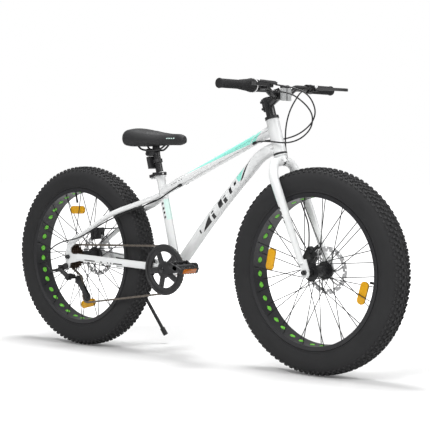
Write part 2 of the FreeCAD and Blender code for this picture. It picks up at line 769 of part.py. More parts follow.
post_head = on_seat_tube(post_top)
saddle_rear = post_head.x - d.saddle_back
saddle_nose = post_head.x + d.saddle_front
saddle_top = post_head.z + d.saddle_rise
rail_height = post_head.z + d.rail_rise
rail_half = d.rail_spacing / 2
rails = []
for side in (1, -1):
    bends = [V(saddle_nose - 60, side * 9, rail_height + 28),
             V(saddle_nose - 84, side * 13, rail_height + 11),
             V(saddle_nose - 118, side * rail_half, rail_height),
             V(saddle_rear + 80, side * rail_half, rail_height),
             V(saddle_rear + 60, side * (rail_half + 3), rail_height + 10),
             V(saddle_rear + 50, side * (rail_half + 6), rail_height + 32)]
    rails.append(pipe("saddle_rail", bends, d.rail_radius))
rail_pair = piece("saddle_rails", group("saddle_rails", rails))
clamp_at = V(post_head.x, 0, rail_height - 5)
clamp_bar = cylinder("clamp_bar", 13, d.rail_spacing + 16, clamp_at + RIGHT * (rail_half + 8), LEFT)
post_trim = cylinder("post_trim", d.post_radius, d.post_length, post_low, seat_up)
piece("saddle_clamp", cut("saddle_clamp", clamp_bar, rail_pair, post_trim))


def saddle_section(along_length, half_width, base, edge, crown):
    """One closed cross-section of the saddle: flat below, full sides and a crowned top."""
    x = saddle_rear + (saddle_nose - saddle_rear) * along_length
    low = V(x, 0.84 * half_width, saddle_top - base)
    bulge = V(x, half_width, saddle_top - base * 0.55 - edge * 0.45)
    high = V(x, 0.76 * half_width, saddle_top - edge)
    top = V(x, 0, saddle_top - crown)
    return Part.Wire([Part.Arc(low, bulge, high).toShape(),
                      Part.Arc(high, top, flip(high)).toShape(),
                      Part.Arc(flip(high), flip(bulge), flip(low)).toShape(),
                      Part.LineSegment(flip(low), low).toShape()])


broad = d.saddle_width / 2
narrow = d.nose_width / 2
saddle_form = Part.makeLoft([saddle_section(0.0, broad * 0.66, 50, 16, 9),
                             saddle_section(0.06, broad * 0.93, 59, 8, 2),
                             saddle_section(0.22, broad, 61, 5, 0),
                             saddle_section(0.45, broad * 0.74, 59, 12, 6),
                             saddle_section(0.64, narrow * 1.5, 58, 18, 11),
                             saddle_section(0.84, narrow, 58, 21, 14),
                             saddle_section(0.96, narrow * 0.84, 56, 24, 17),
                             saddle_section(1.0, narrow * 0.6, 50, 30, 22)], True)
piece("saddle", cut("saddle", feature("saddle_form", saddle_form), rail_pair))

lamp_height = d.seat_tube_length + 40
strap_loop = [(d.post_radius, 0), (d.post_radius + 4, 0), (d.post_radius + 4, 12), (d.post_radius, 12)]
strap = turned("strap", [strap_loop], on_seat_tube(lamp_height), seat_up)
lamp_at = on_seat_tube(lamp_height + 6, -d.post_radius - 10)
lamp = block("lamp", 14, 50, 44, FreeCAD.Placement(lamp_at, seat_turn))
lamp_trim = cylinder("lamp_trim", d.post_radius, 90, on_seat_tube(lamp_height - 40), seat_up)
piece("rear_reflector", fuse("rear_reflector", cut("lamp_box", lamp, lamp_trim), strap))

# Fork
crown_top = d.fork_length - d.cup_height - d.running_gap
stem_low = d.fork_length + d.head_tube_length + d.cup_height + d.running_gap
stem_top = stem_low + d.stem_height
crown = cylinder("crown", 20, 24, on_steerer(crown_top - 24), steer_up)
steerer_span = stem_top - crown_top
steerer = cylinder("steerer", d.steerer_radius, steerer_span + 20, on_steerer(crown_top - 20), steer_up)
hollow_radius = d.steerer_radius - 3
steerer_hollow = cylinder("steerer_hollow", hollow_radius, steerer_span, on_steerer(crown_top), steer_up)
guard_hole = cylinder("guard_hole", d.crown_hole_radius, 60, on_steerer(crown_top - 13, -30), steer_fore)
crown_piece = cut("crown_piece", fuse("crown_blank", crown, steerer), steerer_hollow, guard_hole)
fork_parts = [crown_piece]
leg_bars = []
leg_place = d.front_hub_width / 2 + d.dropout_thickness / 2
fork_outline = [(-14, -12), (-6, -18), (8, -18), (16, -8), (14, 10), (2, 44), (-24, 40)]
for side in (1, -1):
    outer_face = (d.front_hub_width / 2 + d.dropout_thickness) if side > 0 else -d.front_hub_width / 2
    plate_at = side_view(front_axle_at + LEFT * outer_face)
    plate = extruded("fork_tip_plate", [fork_outline], d.dropout_thickness, plate_at)
    hole = cylinder("fork_tip_hole", d.axle_radius, 300, front_axle_at + RIGHT * 150, LEFT)
    tip = cut("fork_tip", plate, hole)
    bend = on_steerer(crown_top - 68, 3, side * leg_place)
    ankle = on_steerer(30, d.fork_rake - 6, side * leg_place)
    knee = bend + (ankle - bend) * 0.2
    shoulder = [on_steerer(crown_top - 18, 0, side * 8), on_steerer(crown_top - 22, 0, side * 44), bend, knee]
    outer = fuse("leg_outer", pipe("leg_top", shoulder, d.fork_top_radius),
                 cone("leg_low", d.fork_top_radius, d.fork_tip_radius, knee, ankle))
    wall = d.tube_thickness + 1
    inner = fuse("leg_inner", pipe("leg_top_bore", shoulder, d.fork_top_radius - wall),
                 cone("leg_low_bore", d.fork_top_radius - wall, d.fork_tip_radius - wall, knee, ankle))
    leg_bars.append(outer)
    crown_trim = cylinder("crown_trim", 20, 24, on_steerer(crown_top - 24), steer_up)
    fork_parts.append(cut("fork_leg", outer, inner, crown_trim, tip))
    fork_parts.append(tip)
piece("fork", group("fork", fork_parts))

# Stem and handlebar
bar_at = on_steerer(stem_top - 16 + d.stem_rise, d.stem_reach)
bar_turn = FreeCAD.Rotation(steer_fore, LEFT, steer_up, "ZXY")
clamp_side = d.clamp_width / 2
column = cylinder("column", d.stem_radius, d.stem_height, on_steerer(stem_low), steer_up)
neck = rod("stem_neck", 14, on_steerer(stem_top - 20), bar_at)
bar_grip = cylinder("bar_grip", d.clamp_outer_radius, d.clamp_width, bar_at + RIGHT * clamp_side, LEFT)
bar_gap = cylinder("bar_gap", d.bar_clamp_radius, d.clamp_width, bar_at + RIGHT * clamp_side, LEFT)
front_half_at = FreeCAD.Placement(bar_at + steer_fore * 30.5, bar_turn)
front_half = block("front_half", 60, d.clamp_width + 10, 90, front_half_at)
steerer_trim = cylinder("steerer_trim", d.steerer_radius, d.stem_height, on_steerer(stem_low), steer_up)
piece("stem", cut("stem", fuse("stem_blank", column, neck, bar_grip), steerer_trim, bar_gap, front_half))

plate_ring = cylinder("plate_ring", d.clamp_outer_radius, d.clamp_width, bar_at + RIGHT * clamp_side, LEFT)
plate_gap = cylinder("plate_gap", d.bar_clamp_radius, d.clamp_width, bar_at + RIGHT * clamp_side, LEFT)
back_half_at = FreeCAD.Placement(bar_at + steer_fore * -28.5, bar_turn)
back_half = block("back_half", 60, d.clamp_width + 10, 90, back_half_at)
face_plate = cut("face_plate", plate_ring, plate_gap, back_half)
bolts = []
for side in (1, -1):
    for height in (1, -1):
        bolt_at = bar_at + steer_fore * 1.5 + steer_up * (height * 15.5) + LEFT * (side * 15)
        bolts.append(cylinder("plate_bolt", 4, 12, bolt_at, steer_fore))
cap = cut("stem_cap", cylinder("cap_disc", d.stem_radius, 4, on_steerer(stem_top), steer_up), neck)
bolt_heads = [cut("bolt_head", bolt, face_plate, bar_gap) for bolt in bolts]
piece("stem_hardware", group("stem_hardware", [face_plate, cap] + bolt_heads))


def bar_bends(side):
    """The bar's bends on one side, from its end to the clamp."""
    end = bar_at + V(-d.bar_sweep, side * d.bar_half_width, d.bar_rise)
    return [end, bar_at + V(2, side * 78, d.bar_rise - 1), bar_at + V(0, side * 46, 0)]


bar_route = bar_bends(-1) + bar_bends(1)[::-1]
bar_outer = pipe("bar_outer", bar_route, d.bar_radius)
bar_bore = pipe("bar_bore", bar_route, d.bar_radius - d.tube_thickness)
bulge = cylinder("bar_bulge", d.bar_clamp_radius, 66, bar_at + RIGHT * 33, LEFT)
bar_solid = fuse("bar_solid", bar_outer, bulge)
piece("handlebar", cut("handlebar", bar_solid, bar_bore))


def on_bar(side, inward, forward=0, lift=0):
    """A point on the straight of the bar, measured from its end."""
    end, shoulder = bar_bends(side)[:2]
    return end + (shoulder - end).normalize() * inward + V(forward, 0, lift)


def bar_inward(side):
    end, shoulder = bar_bends(side)[:2]
    return (shoulder - end).normalize()


def sleeve(name, side, start, length, radius, bore):
    outer = cylinder(f"{name}_outer", radius, length, on_bar(side, start), bar_inward(side))
    hole = cylinder(f"{name}_hole", bore, length, on_bar(side, max(start, 0)), bar_inward(side))
    return cut(name, outer, hole)


grips = [sleeve("left_grip", 1, -d.grip_end, d.left_grip_length, d.grip_radius, d.bar_radius),
         sleeve("right_grip", -1, -d.grip_end, d.right_grip_length, d.grip_radius, d.bar_radius)]
piece("grips", group("grips", grips))

twist_start = d.right_grip_length - d.grip_end + d.running_gap
twist_bore = d.bar_radius + d.bearing_clearance
twist_loop = [(twist_bore, 0), (d.grip_radius + 1, 0), (d.twist_radius - 2, d.twist_length * 0.3),
              (d.twist_radius, d.twist_length * 0.6), (d.twist_radius, d.twist_length * 0.9),
              (d.twist_radius - 3, d.twist_length), (twist_bore, d.twist_length)]
piece("twist_grip", turned("twist_grip", [twist_loop], on_bar(-1, twist_start), bar_inward(-1)))
shifter_start = twist_start + d.twist_length + d.running_gap
shifter_ring = sleeve("shifter_ring", -1, shifter_start, d.shifter_length, d.twist_radius - 1, d.bar_radius)
outlet_end = on_bar(-1, shifter_start + 26, 34, -18)
outlet = rod("shifter_outlet", 5, on_bar(-1, shifter_start + 12, 4, -16), outlet_end)
outlet_trim = cylinder("outlet_trim", d.bar_radius, 60, on_bar(-1, shifter_start - 10), bar_inward(-1))
piece("shifter_housing", fuse("shifter_housing", shifter_ring, cut("shifter_spout", outlet, outlet_trim)))


def ears(name, at, axis, reach, gap, depth):
    """Two ears and the pin between them: reach points from the base to the pin."""
    turn = FreeCAD.Rotation(V(reach), axis.cross(reach), V(axis), "ZXY")
    parts = []
    for side in (1, -1):
        centre = at + axis * (side * (gap / 2 + d.running_gap + d.ear_wall / 2)) - reach * (depth / 2 - 6)
        parts.append(block(f"{name}_ear", depth, 14, d.ear_wall, FreeCAD.Placement(centre, turn)))
    half = gap / 2 + d.running_gap + d.ear_wall
    parts.append(cylinder(f"{name}_pin", d.pivot_pin_radius, 2 * half, at - axis * half, axis))
    return parts


# Brake levers
right_perch_at = shifter_start + d.shifter_length + d.running_gap + d.perch_width / 2
left_perch_at = d.left_grip_length - d.grip_end + d.running_gap + d.perch_width / 2
perches = []
for side, label, place in ((-1, "right", right_perch_at), (1, "left", left_perch_at)):
    ring = sleeve("perch_ring", side, place - d.perch_width / 2, d.perch_width, d.perch_radius, d.bar_radius)
    pivot = on_bar(side, place, d.lever_pivot_forward)
    inward = bar_inward(side)
    perch_ears = ears("perch", pivot, UP, V(1, 0, 0), d.lever_thickness, d.lever_pivot_forward - 6)
    bridge_at = FreeCAD.Placement(on_bar(side, place, d.perch_radius - 1), FreeCAD.Rotation())
    bridge = block("perch_bridge", 6, d.perch_width, d.lever_thickness + 2 * d.ear_wall, bridge_at)
    barrel_end = on_bar(side, place + 34, d.perch_radius + 14)
    barrel = rod("perch_barrel", 5.5, on_bar(side, place + 4, d.perch_radius - 1), barrel_end)
    bar_trim = cylinder("perch_trim", d.bar_radius, 120, on_bar(side, place - 60), inward)
    perch_body = cut("perch_body", fuse("perch_base", bridge, barrel), bar_trim)
    perches.append(fuse("perch", ring, *perch_ears, perch_body))
    outline = [(9, -4), (-6, -4), (-40, 20), (-118, 34), (-d.lever_length, 34), (-d.lever_length, 42),
               (-114, 46), (-36, 34), (0, 8), (9, 6)]
    corners = [V(v, u * inward.y, 0) for u, v in outline]
    shape = Part.Face(Part.makePolygon(corners + corners[:1])).extrude(UP * d.lever_thickness)
    shape.translate(pivot - UP * (d.lever_thickness / 2))
    bore_at = pivot - UP * (d.lever_thickness / 2 + 1)
    bore_radius = d.pivot_pin_radius + d.bearing_clearance
    bore = cylinder("lever_bore", bore_radius, d.lever_thickness + 2, bore_at, UP)
    piece(f"brake_lever_{label}", cut(f"brake_lever_{label}", feature("lever_blade", shape), bore))
piece("lever_perches", group("lever_perches", perches))

reflector_at = bar_at + V(27, 0, 0)
front_lens = block("front_lens", 8, 50, 42, FreeCAD.Placement(reflector_at, FreeCAD.Rotation()))
band_radius = d.bar_clamp_radius + 4
band_loop = [(d.bar_clamp_radius, 0), (band_radius, 0), (band_radius, 9), (d.bar_clamp_radius, 9)]
band = turned("reflector_band", [band_loop], bar_at + LEFT * (clamp_side + 0.5), LEFT)
arm_at = FreeCAD.Placement(bar_at + V(22, clamp_side + 5, 0), FreeCAD.Rotation())
arm_trim = cylinder("arm_trim", d.bar_clamp_radius, 40, bar_at, LEFT)
lens_arm = cut("lens_arm", block("lens_arm", 14, 9, 10, arm_at), arm_trim)
piece("front_reflector", fuse("front_reflector", front_lens, band, lens_arm))


# Brakes
def caliper(label, axle, angle, place, lug, trims):
    """A disc caliper straddling its rotor, with the pivot for its arm on the outer face."""
    centre = around(axle, d.rotor_radius + 2, angle, place)
    middle = centre + LEFT * ((d.caliper_outer - d.caliper_inner) / 2)
    body = block(f"{label}_body", d.caliper_radial, d.caliper_length, d.caliper_inner + d.caliper_outer,
                 side_view(middle, angle))
    slot_at = side_view(around(axle, d.rotor_radius - 18, angle, place), angle)
    slot = block(f"{label}_slot", 48, d.caliper_length + 2, d.caliper_slot, slot_at)
    pivot = centre + LEFT * d.caliper_outer
    pin = cylinder(f"{label}_pin", d.arm_pin_radius, d.arm_thickness + 2 * d.running_gap + 1, pivot, LEFT)
    blank = cut(f"{label}_blank", fuse(f"{label}_lugged", body, lug), slot, *trims)
    piece(f"{label}_caliper", fuse(f"{label}_caliper", blank, pin))
    start = pivot + LEFT * d.running_gap
    eye = cylinder(f"{label}_eye", 10, d.arm_thickness, start, LEFT)
    aim = around(V(0, 0, 0), d.arm_length, angle + 65, 0)
    arm_face = side_view(start + aim * 0.5 + LEFT * (d.arm_thickness / 2), angle + 65)
    strip = block(f"{label}_strip", d.arm_length, 11, d.arm_thickness, arm_face)
    bore = cylinder(f"{label}_bore", d.arm_pin_radius + d.bearing_clearance, d.arm_thickness, start, LEFT)
    piece(f"{label}_caliper_arm", cut(f"{label}_caliper_arm", fuse(f"{label}_arm", eye, strip), bore))
    return start + aim


front_lug = rod("front_lug", 7, around(front_axle_at, d.rotor_radius + 12, 140, d.front_rotor_place + 9),
                around(front_axle_at, d.rotor_radius + 12, 122, leg_place))
front_arm_end = caliper("front", front_axle_at, 148, d.front_rotor_place, front_lug, leg_bars[:1])
rear_lug_at = rear_axle_at + V(23, d.rear_hub_width / 2 - 5, 65)
rear_lug = block("rear_lug", 26, 10, 14, FreeCAD.Placement(rear_lug_at, FreeCAD.Rotation()))
rear_arm_end = caliper("rear", rear_axle_at, 96, d.rear_rotor_place, rear_lug, [])


# Drive train
def pitch_radius(teeth):
    return d.chain_pitch * teeth / (2 * math.pi)


def toothed(teeth, thickness, bore, centre):
    """A flat sprocket with square-cut teeth, centred on its own plane."""
    middle = pitch_radius(teeth)
    root = middle - d.chain_height / 2 + 0.5
    tip = middle + 1.6
    corners = []
    for tooth in range(int(teeth)):
        for share, radius in ((-0.3, root), (-0.12, tip), (0.12, tip), (0.3, root)):
            corners.append(around(centre, radius, (tooth + share) * 360 / teeth, centre.y - thickness / 2))
    blank = Part.Face(Part.makePolygon(corners + corners[:1])).extrude(LEFT * thickness)
    return blank.cut(Part.makeCylinder(bore, thickness + 2, centre - LEFT * (thickness / 2 + 1), LEFT))


ring_at = crank_at + RIGHT * d.chain_plane
guard_face = d.chain_plane + d.chain_width / 2 + 1
ring = toothed(d.ring_teeth, d.ring_thickness, d.guard_inner_radius, ring_at)
for index in range(int(d.guard_spoke_count)):
    bolt_turn = d.guard_turn + index * 360 / d.guard_spoke_count
    bolt_at = around(crank_at, d.guard_inner_radius + 6, bolt_turn, -guard_face)
    ring = ring.fuse(Part.makeCylinder(5, guard_face - d.chain_plane, bolt_at, LEFT))
piece("chainring", feature("chainring", ring.removeSplitter()))

guard_loop = [(d.guard_inner_radius, 0), (d.guard_radius, 0), (d.guard_radius, d.guard_thickness),
              (d.guard_inner_radius, d.guard_thickness)]
guard_start = crank_at + RIGHT * guard_face
guard_hoop = turned("guard_hoop", [guard_loop], guard_start, RIGHT)
guard_hub = cylinder("guard_hub", d.guard_hub_radius, d.guard_thickness, guard_start, RIGHT)
guard_arms = []
for index in range(int(d.guard_spoke_count)):
    turn = d.guard_turn + index * 360 / d.guard_spoke_count
    reach = d.guard_inner_radius + 4
    arm_at = side_view(around(guard_start, reach / 2, turn, guard_start.y - d.guard_thickness / 2), turn)
    guard_arms.append(block("guard_arm", reach, d.guard_spoke_width, d.guard_thickness, arm_at))
spindle_trim = cylinder("spindle_trim", d.spindle_radius, 30, crank_at + RIGHT * 90, LEFT)
guard_blank = fuse("guard_blank", guard_hoop, guard_hub, *guard_arms)
piece("chain_guard", cut("chain_guard", guard_blank, spindle_trim))

arm_inner = guard_face + d.guard_thickness
arm_outer = arm_inner + d.crank_arm_thickness
spindle_start = crank_at + RIGHT * arm_outer
piece("crank_spindle", cylinder("crank_spindle", d.spindle_radius, 2 * arm_outer, spindle_start, LEFT))
for side, label in ((-1, "right"), (1, "left")):
    forward = 1 if side < 0 else -1
    start = crank_at + LEFT * (side * arm_inner)
    tip_at = around(crank_at, forward * d.crank_length, d.crank_turn, start.y)
    outward = LEFT * side
    boss = cylinder("crank_boss", d.crank_boss_radius, d.crank_arm_thickness, start, outward)
    eye = cylinder("crank_eye", d.crank_tip_radius, d.crank_arm_thickness, tip_at, outward)
    beam_outline = [(0, -d.crank_boss_radius), (forward * d.crank_length, -d.crank_tip_radius),
                    (forward * d.crank_length, d.crank_tip_radius), (0, d.crank_boss_radius)]
    beam_face = start.y if side < 0 else start.y + d.crank_arm_thickness
    beam_at = side_view(V(start.x, beam_face, start.z), d.crank_turn)
    beam = extruded("crank_beam", [beam_outline], d.crank_arm_thickness, beam_at)
    hole = cylinder("crank_hole", d.spindle_radius, d.crank_arm_thickness, start, outward)
    arm = cut("crank_arm", fuse("crank_blank", boss, eye, beam), hole)
    pin_start = tip_at + outward * d.crank_arm_thickness
    pin = cylinder("pedal_pin", d.pedal_spindle_radius, d.pedal_width, pin_start, outward)
    piece(f"crank_arm_{label}", group(f"crank_arm_{label}", [arm, pin]))
    middle = pin_start + outward * (d.pedal_width / 2 + 1)
    tilt = FreeCAD.Rotation(LEFT, d.pedal_tilt)
    body_at = FreeCAD.Placement(middle, tilt)
    body = block("pedal_body", d.pedal_length, d.pedal_width, d.pedal_height, body_at)
    bore_radius = d.pedal_spindle_radius + d.bearing_clearance
    bore = cylinder("pedal_bore", bore_radius, d.pedal_width + 4, pin_start, outward)
    window = (d.pedal_length * 0.28, d.pedal_width - 22, d.pedal_height + 2)
    windows = []
    for end in (1, -1):
        window_at = FreeCAD.Placement(middle + tilt.multVec(V(end * d.pedal_length * 0.27, 0, 0)), tilt)
        windows.append(block("pedal_window", *window, window_at))
    piece(f"pedal_{label}", cut(f"pedal_{label}", body, bore, *windows))

cogs = []
cog_bore = d.hub_end_radius + d.bearing_clearance
teeth = int(d.cog_largest)
while teeth >= d.cog_smallest:
    place = d.chain_plane + (d.cog_in_use - teeth) / 2 * d.cog_step
    cogs.append(toothed(teeth, d.cog_thickness, cog_bore, rear_axle_at + RIGHT * place))
    last_place = place
    teeth -= 2
first_place = d.chain_plane + (d.cog_in_use - d.cog_largest) / 2 * d.cog_step
core_start = rear_axle_at + RIGHT * first_place
core = Part.makeCylinder(21, last_place - first_place, core_start, RIGHT)
core = core.cut(Part.makeCylinder(cog_bore, 100, rear_axle_at + RIGHT * 120, LEFT))
piece("freewheel", feature("freewheel", core.multiFuse(cogs).removeSplitter()))

# Chain and derailleur
guide_at = rear_axle_at + V(25, -d.chain_plane, -90)
tension_at = rear_axle_at + V(73, -d.chain_plane, -150)
pulley_radius = pitch_radius(d.pulley_teeth)
loop_circles = [(ring_at, pitch_radius(d.ring_teeth), 1), (tension_at, pulley_radius, 1),
                (guide_at, pulley_radius, -1), (rear_axle_at, pitch_radius(d.cog_in_use), 1)]


def chain_line(offset):
    """The closed line of tangents and arcs round the sprockets, moved outwards by an offset."""
    contacts = []
    count = len(loop_circles)
    for index in range(count):
        (a, ra, sa), (b, rb, sb) = loop_circles[index], loop_circles[(index + 1) % count]
        ra = sa * ra + offset
        rb = sb * rb + offset
        span = math.hypot(b.x - a.x, b.z - a.z)
        heading = math.atan2(b.z - a.z, b.x - a.x) - math.asin((ra - rb) / span)
        normal = V(-math.sin(heading), 0, math.cos(heading))
        contacts.append((V(a.x, 0, a.z) + normal * ra, V(b.x, 0, b.z) + normal * rb))
    edges = []
    for index in range(count):
        edges.append(Part.LineSegment(*contacts[index]).toShape())
        centre, radius, sense = loop_circles[(index + 1) % count]
        arrive = contacts[index][1] - V(centre.x, 0, centre.z)
        leave = contacts[(index + 1) % count][0] - V(centre.x, 0, centre.z)
        first = math.atan2(arrive.z, arrive.x)
        sweep = (math.atan2(leave.z, leave.x) - first) * -sense % (2 * math.pi)
        middle = first - sense * sweep / 2
        bulge = V(math.cos(middle), 0, math.sin(middle)) * arrive.Length + V(centre.x, 0, centre.z)
        edges.append(Part.Arc(contacts[index][1], bulge, contacts[(index + 1) % count][0]).toShape())
    return Part.Wire(edges)


def chain_band(inner, outer, width):
    """A closed band between two offset lines, centred on the chain's plane."""
    face = Part.Face(chain_line(outer)).cut(Part.Face(chain_line(inner)))
    band = face.extrude(LEFT * width)
    band.translate(RIGHT * (d.chain_plane + width / 2))
    return band


half_height = d.chain_height / 2
links = chain_band(-half_height, half_height, d.chain_width)
channel = chain_band(-half_height - 1, half_height - d.chain_web, d.chain_channel)
piece("chain", feature("chain", links.cut(channel)))

cage_inner = d.chain_plane - d.cage_gap
cage_outer = d.chain_plane + d.cage_gap
cage_outline = [(-26, 10), (-12, 26), (8, 16), (60, -50), (58, -72), (38, -72)]
cage_pivot_at = guide_at + V(-16, 0, 14)
cage_parts = []
for face in (cage_inner - d.cage_wall, cage_outer):
    plate_at = side_view(V(guide_at.x, -face, guide_at.z))
    cage_parts.append(extruded("cage_plate", [cage_outline], d.cage_wall, plate_at))
for label, centre in (("guide", guide_at), ("tension", tension_at)):
    pin_start = V(centre.x, -cage_outer - d.cage_wall, centre.z)
    pin_length = 2 * (d.cage_gap + d.cage_wall)
    cage_parts.append(cylinder("pulley_pin", d.pivot_pin_radius, pin_length, pin_start, LEFT))
    rim_radius = pulley_radius - half_height - d.running_gap
    wheel_start = V(centre.x, -d.chain_plane - d.pulley_thickness / 2, centre.z)
    pulley_loop = [(d.pivot_pin_radius + d.bearing_clearance, -3), (8, -3), (8, 0), (rim_radius, 0),
                   (rim_radius, d.pulley_thickness), (8, d.pulley_thickness), (8, d.pulley_thickness + 3),
                   (d.pivot_pin_radius + d.bearing_clearance, d.pulley_thickness + 3)]
    piece(f"{label}_pulley", turned(f"{label}_pulley", [pulley_loop], wheel_start, LEFT))
cage_hole = cylinder("cage_hole", d.cage_pin_radius + d.bearing_clearance, d.cage_wall,
                     V(cage_pivot_at.x, -cage_outer - d.cage_wall, cage_pivot_at.z), LEFT)
cage_parts[1] = cut("cage_plate_holed", cage_parts[1], cage_hole)
piece("derailleur_cage", fuse("derailleur_cage", *cage_parts))

link_top = rear_axle_at + V(-40, -d.link_plane, -46)
link_low = V(cage_pivot_at.x, -d.link_plane, cage_pivot_at.z)
link_along = (link_low - link_top).normalize()
link_axis = link_along.cross(LEFT)
link_turn = FreeCAD.Rotation(link_along, LEFT, link_axis, "ZXY")
link_span = (link_low - link_top).Length
link_at = FreeCAD.Placement((link_top + link_low) * 0.5, link_turn)
link_bar = block("link_bar", link_span, 7, d.link_height, link_at)
link_bore = d.pivot_pin_radius + d.bearing_clearance
link_eyes = []
link_bores = []
for at in (link_top, link_low):
    base = at - link_axis * (d.link_height / 2)
    link_eyes.append(cylinder("link_eye", 5.5, d.link_height, base, link_axis))
    link_bores.append(cylinder("link_bore", link_bore, d.link_height, base, link_axis))
piece("derailleur_link", cut("derailleur_link", fuse("link_blank", link_bar, *link_eyes), *link_bores))

knuckle_start = V(cage_pivot_at.x, -cage_outer - d.cage_wall - d.running_gap, cage_pivot_at.z)
knuckle_end = d.link_plane - 7
knuckle_bar = cylinder("knuckle_bar", 9, knuckle_end + knuckle_start.y, knuckle_start, RIGHT)
knuckle_pin = cylinder("knuckle_pin", d.cage_pin_radius, d.cage_wall, knuckle_start, LEFT)
knuckle_ears = ears("knuckle", link_low, link_axis, RIGHT, d.link_height, 24)
piece("derailleur_knuckle", fuse("derailleur_knuckle", knuckle_bar, knuckle_pin, *knuckle_ears))

mount_disc = cylinder("mount_disc", 11, 8, hanger_at, RIGHT)
mount_bolt = cylinder("mount_bolt", d.hanger_bolt_radius, d.dropout_thickness, hanger_at, LEFT)
mount_span = V(link_top.x - hanger_at.x, 0, link_top.z - hanger_at.z)
mount_turn = math.degrees(math.atan2(mount_span.z, mount_span.x))
mount_middle = hanger_at + mount_span * 0.5 + RIGHT * 3.5
mount_bar = block("mount_bar", mount_span.Length + 14, 20, 5, side_view(mount_middle, mount_turn))
mount_ears = ears("mount", link_top, link_axis, RIGHT, d.link_height, 20)
piece("derailleur_body", fuse("derailleur_body", mount_disc, mount_bolt, mount_bar, *mount_ears))

# Kickstand
eye_start = stand_pivot_at + stand_axis * d.running_gap
stand_eye = cylinder("stand_eye", 13, d.stand_eye_length, eye_start, stand_axis)
stand_bore_radius = d.stand_pivot_radius + d.bearing_clearance
stand_bore = cylinder("stand_bore", stand_bore_radius, d.stand_eye_length, eye_start, stand_axis)
leg_start = eye_start + stand_axis * (d.stand_eye_length / 2)
stand_leg = rod("stand_leg", d.stand_radius, leg_start, foot_at)
stand_bent = cut("stand_bent", fuse("stand_solid", stand_eye, stand_leg), stand_bore)
foot_way = (foot_at - leg_start).normalize()
foot_cap = cylinder("stand_foot", d.stand_radius + 3, 30, foot_at - foot_way * 24, foot_way)
piece("kickstand", group("kickstand", [cut("stand", stand_bent, foot_cap), foot_cap]))

# Cables, each along its own route of straight runs and tangent arcs
top_way = (top_end - top_start).normalize()
top_under = V(top_way.z, 0, -top_way.x)


def under_top_tube(distance, side):
    """A point beside the underside of the top tube, measured from the seat tube."""
    stand_off = d.top_tube_radius + d.cable_radius + d.running_gap
    return top_start + top_way * distance + top_under * (stand_off * 0.72) + V(0, side * stand_off * 0.72, 0)


def beside_stay(side, offsets):
    """Points of a cable held to a seat stay, each so far out and up from a bend of the stay."""
    return [bend + V(0, side * out, lift) for bend, (out, lift) in zip(seatstay_route(side), offsets)]


def off_bar(forward, side, lift):
    """A point of a cable's loose loop, measured from the middle of the bar."""
    return bar_at + V(forward, side, lift)


def out_of_lever(side, place):
    """The start of a brake cable, in line with its lever's barrel."""
    return [on_bar(side, place + 34, d.perch_radius + 14), on_bar(side, place + 54, d.perch_radius + 24)]


shift_loop = [off_bar(123, -104, -2), off_bar(160, -98, -24), off_bar(187, -85, -53), off_bar(192, -70, -82),
              off_bar(173, -55, -117), off_bar(133, -45, -145), off_bar(87, -38, -160),
              off_bar(43, -34, -163), off_bar(-5, -32, -158), off_bar(-48, -27, -156)]
shift_tail = [stay_point(87, -102, 80), stay_point(35, -104, 67), stay_point(-12, -106, 59),
              stay_point(-61, -106, 41), stay_point(-100, -106, 15), stay_point(-115, -106, -20),
              stay_point(-101, -105, -51), stay_point(-77, -104, -57)]
under_right_stay = beside_stay(-1, ((14, -19), (3, -16), (7, -20)))
over_left_stay = beside_stay(1, ((20, 17), (2, 16), (2, 16)))
shift_route = [outlet_end, on_bar(-1, shifter_start + 40, 64, -20), *shift_loop,
               under_top_tube(470, -1), under_top_tube(60, -1), *under_right_stay, *shift_tail]
brake_loop = [off_bar(93, -42, 23), off_bar(139, -36, 6), off_bar(163, -32, -30), off_bar(169, -24, -64),
              off_bar(145, -10, -96), off_bar(99, 6, -122), off_bar(51, 22, -138), off_bar(1, 31, -148),
              off_bar(-48, 29, -156)]
brake_tail = [stay_point(125, 103, 113), stay_point(55, 103, 102), stay_point(-5, 96, 100),
              rear_arm_end + V(4, 7, 3)]
brake_route = [*out_of_lever(-1, right_perch_at), *brake_loop, under_top_tube(470, 1), under_top_tube(60, 1),
               *over_left_stay, *brake_tail]
front_loop = [off_bar(37, 78, 14), off_bar(35, 56, -14), off_bar(21, 42, -52), off_bar(11, 36, -100),
              off_bar(5, 40, -150), off_bar(-1, 52, -206), off_bar(-5, 74, -256), off_bar(7, 92, -322),
              off_bar(33, 92, -388), off_bar(65, 88, -452)]
front_route = [*out_of_lever(1, left_perch_at), *front_loop, front_arm_end + V(2, 7, 30)]
for label, points in (("shift_cable", shift_route), ("rear_brake_cable", brake_route),
                      ("front_brake_cable", front_route)):
    cable = pipe(label, points, d.cable_radius)
    path = route(points)
    radii = [edge.Curve.Radius for edge in path.Edges if hasattr(edge.Curve, "Radius")]
    expected = math.pi * float(d.cable_radius) ** 2 * path.Length
    print(f"{label}: length {path.Length:.0f}, least radius {min(radii):.0f}, "
          f"volume share {cable.Shape.Volume / expected:.4f}")
    piece(label, cable)

# Write every sub-part, once the whole document is sound
doc.recompute()
failed = [item.Name for item in doc.Objects if "Invalid" in item.State or "Error" in item.State]
failed += [item.Label for item in pieces if item.Shape.isNull() or not item.Shape.isValid()]
if failed:
    raise RuntimeError(f"these objects failed: {failed}")
os.makedirs("parts", exist_ok=True)
for item in pieces:
    item.Shape.exportStep(f"parts/{item.Label}.step")
print(f"{len(pieces)} sub-parts written")
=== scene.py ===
"""Looks of a fat tyre bicycle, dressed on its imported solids.

Metres in the frame of the solids: +X forward, +Y to the rider's left, +Z up.
Sizes below are written in millimetres and turned into metres by MM.
"""
import bmesh
import bpy
import json
import math
from mathutils import Matrix, Vector


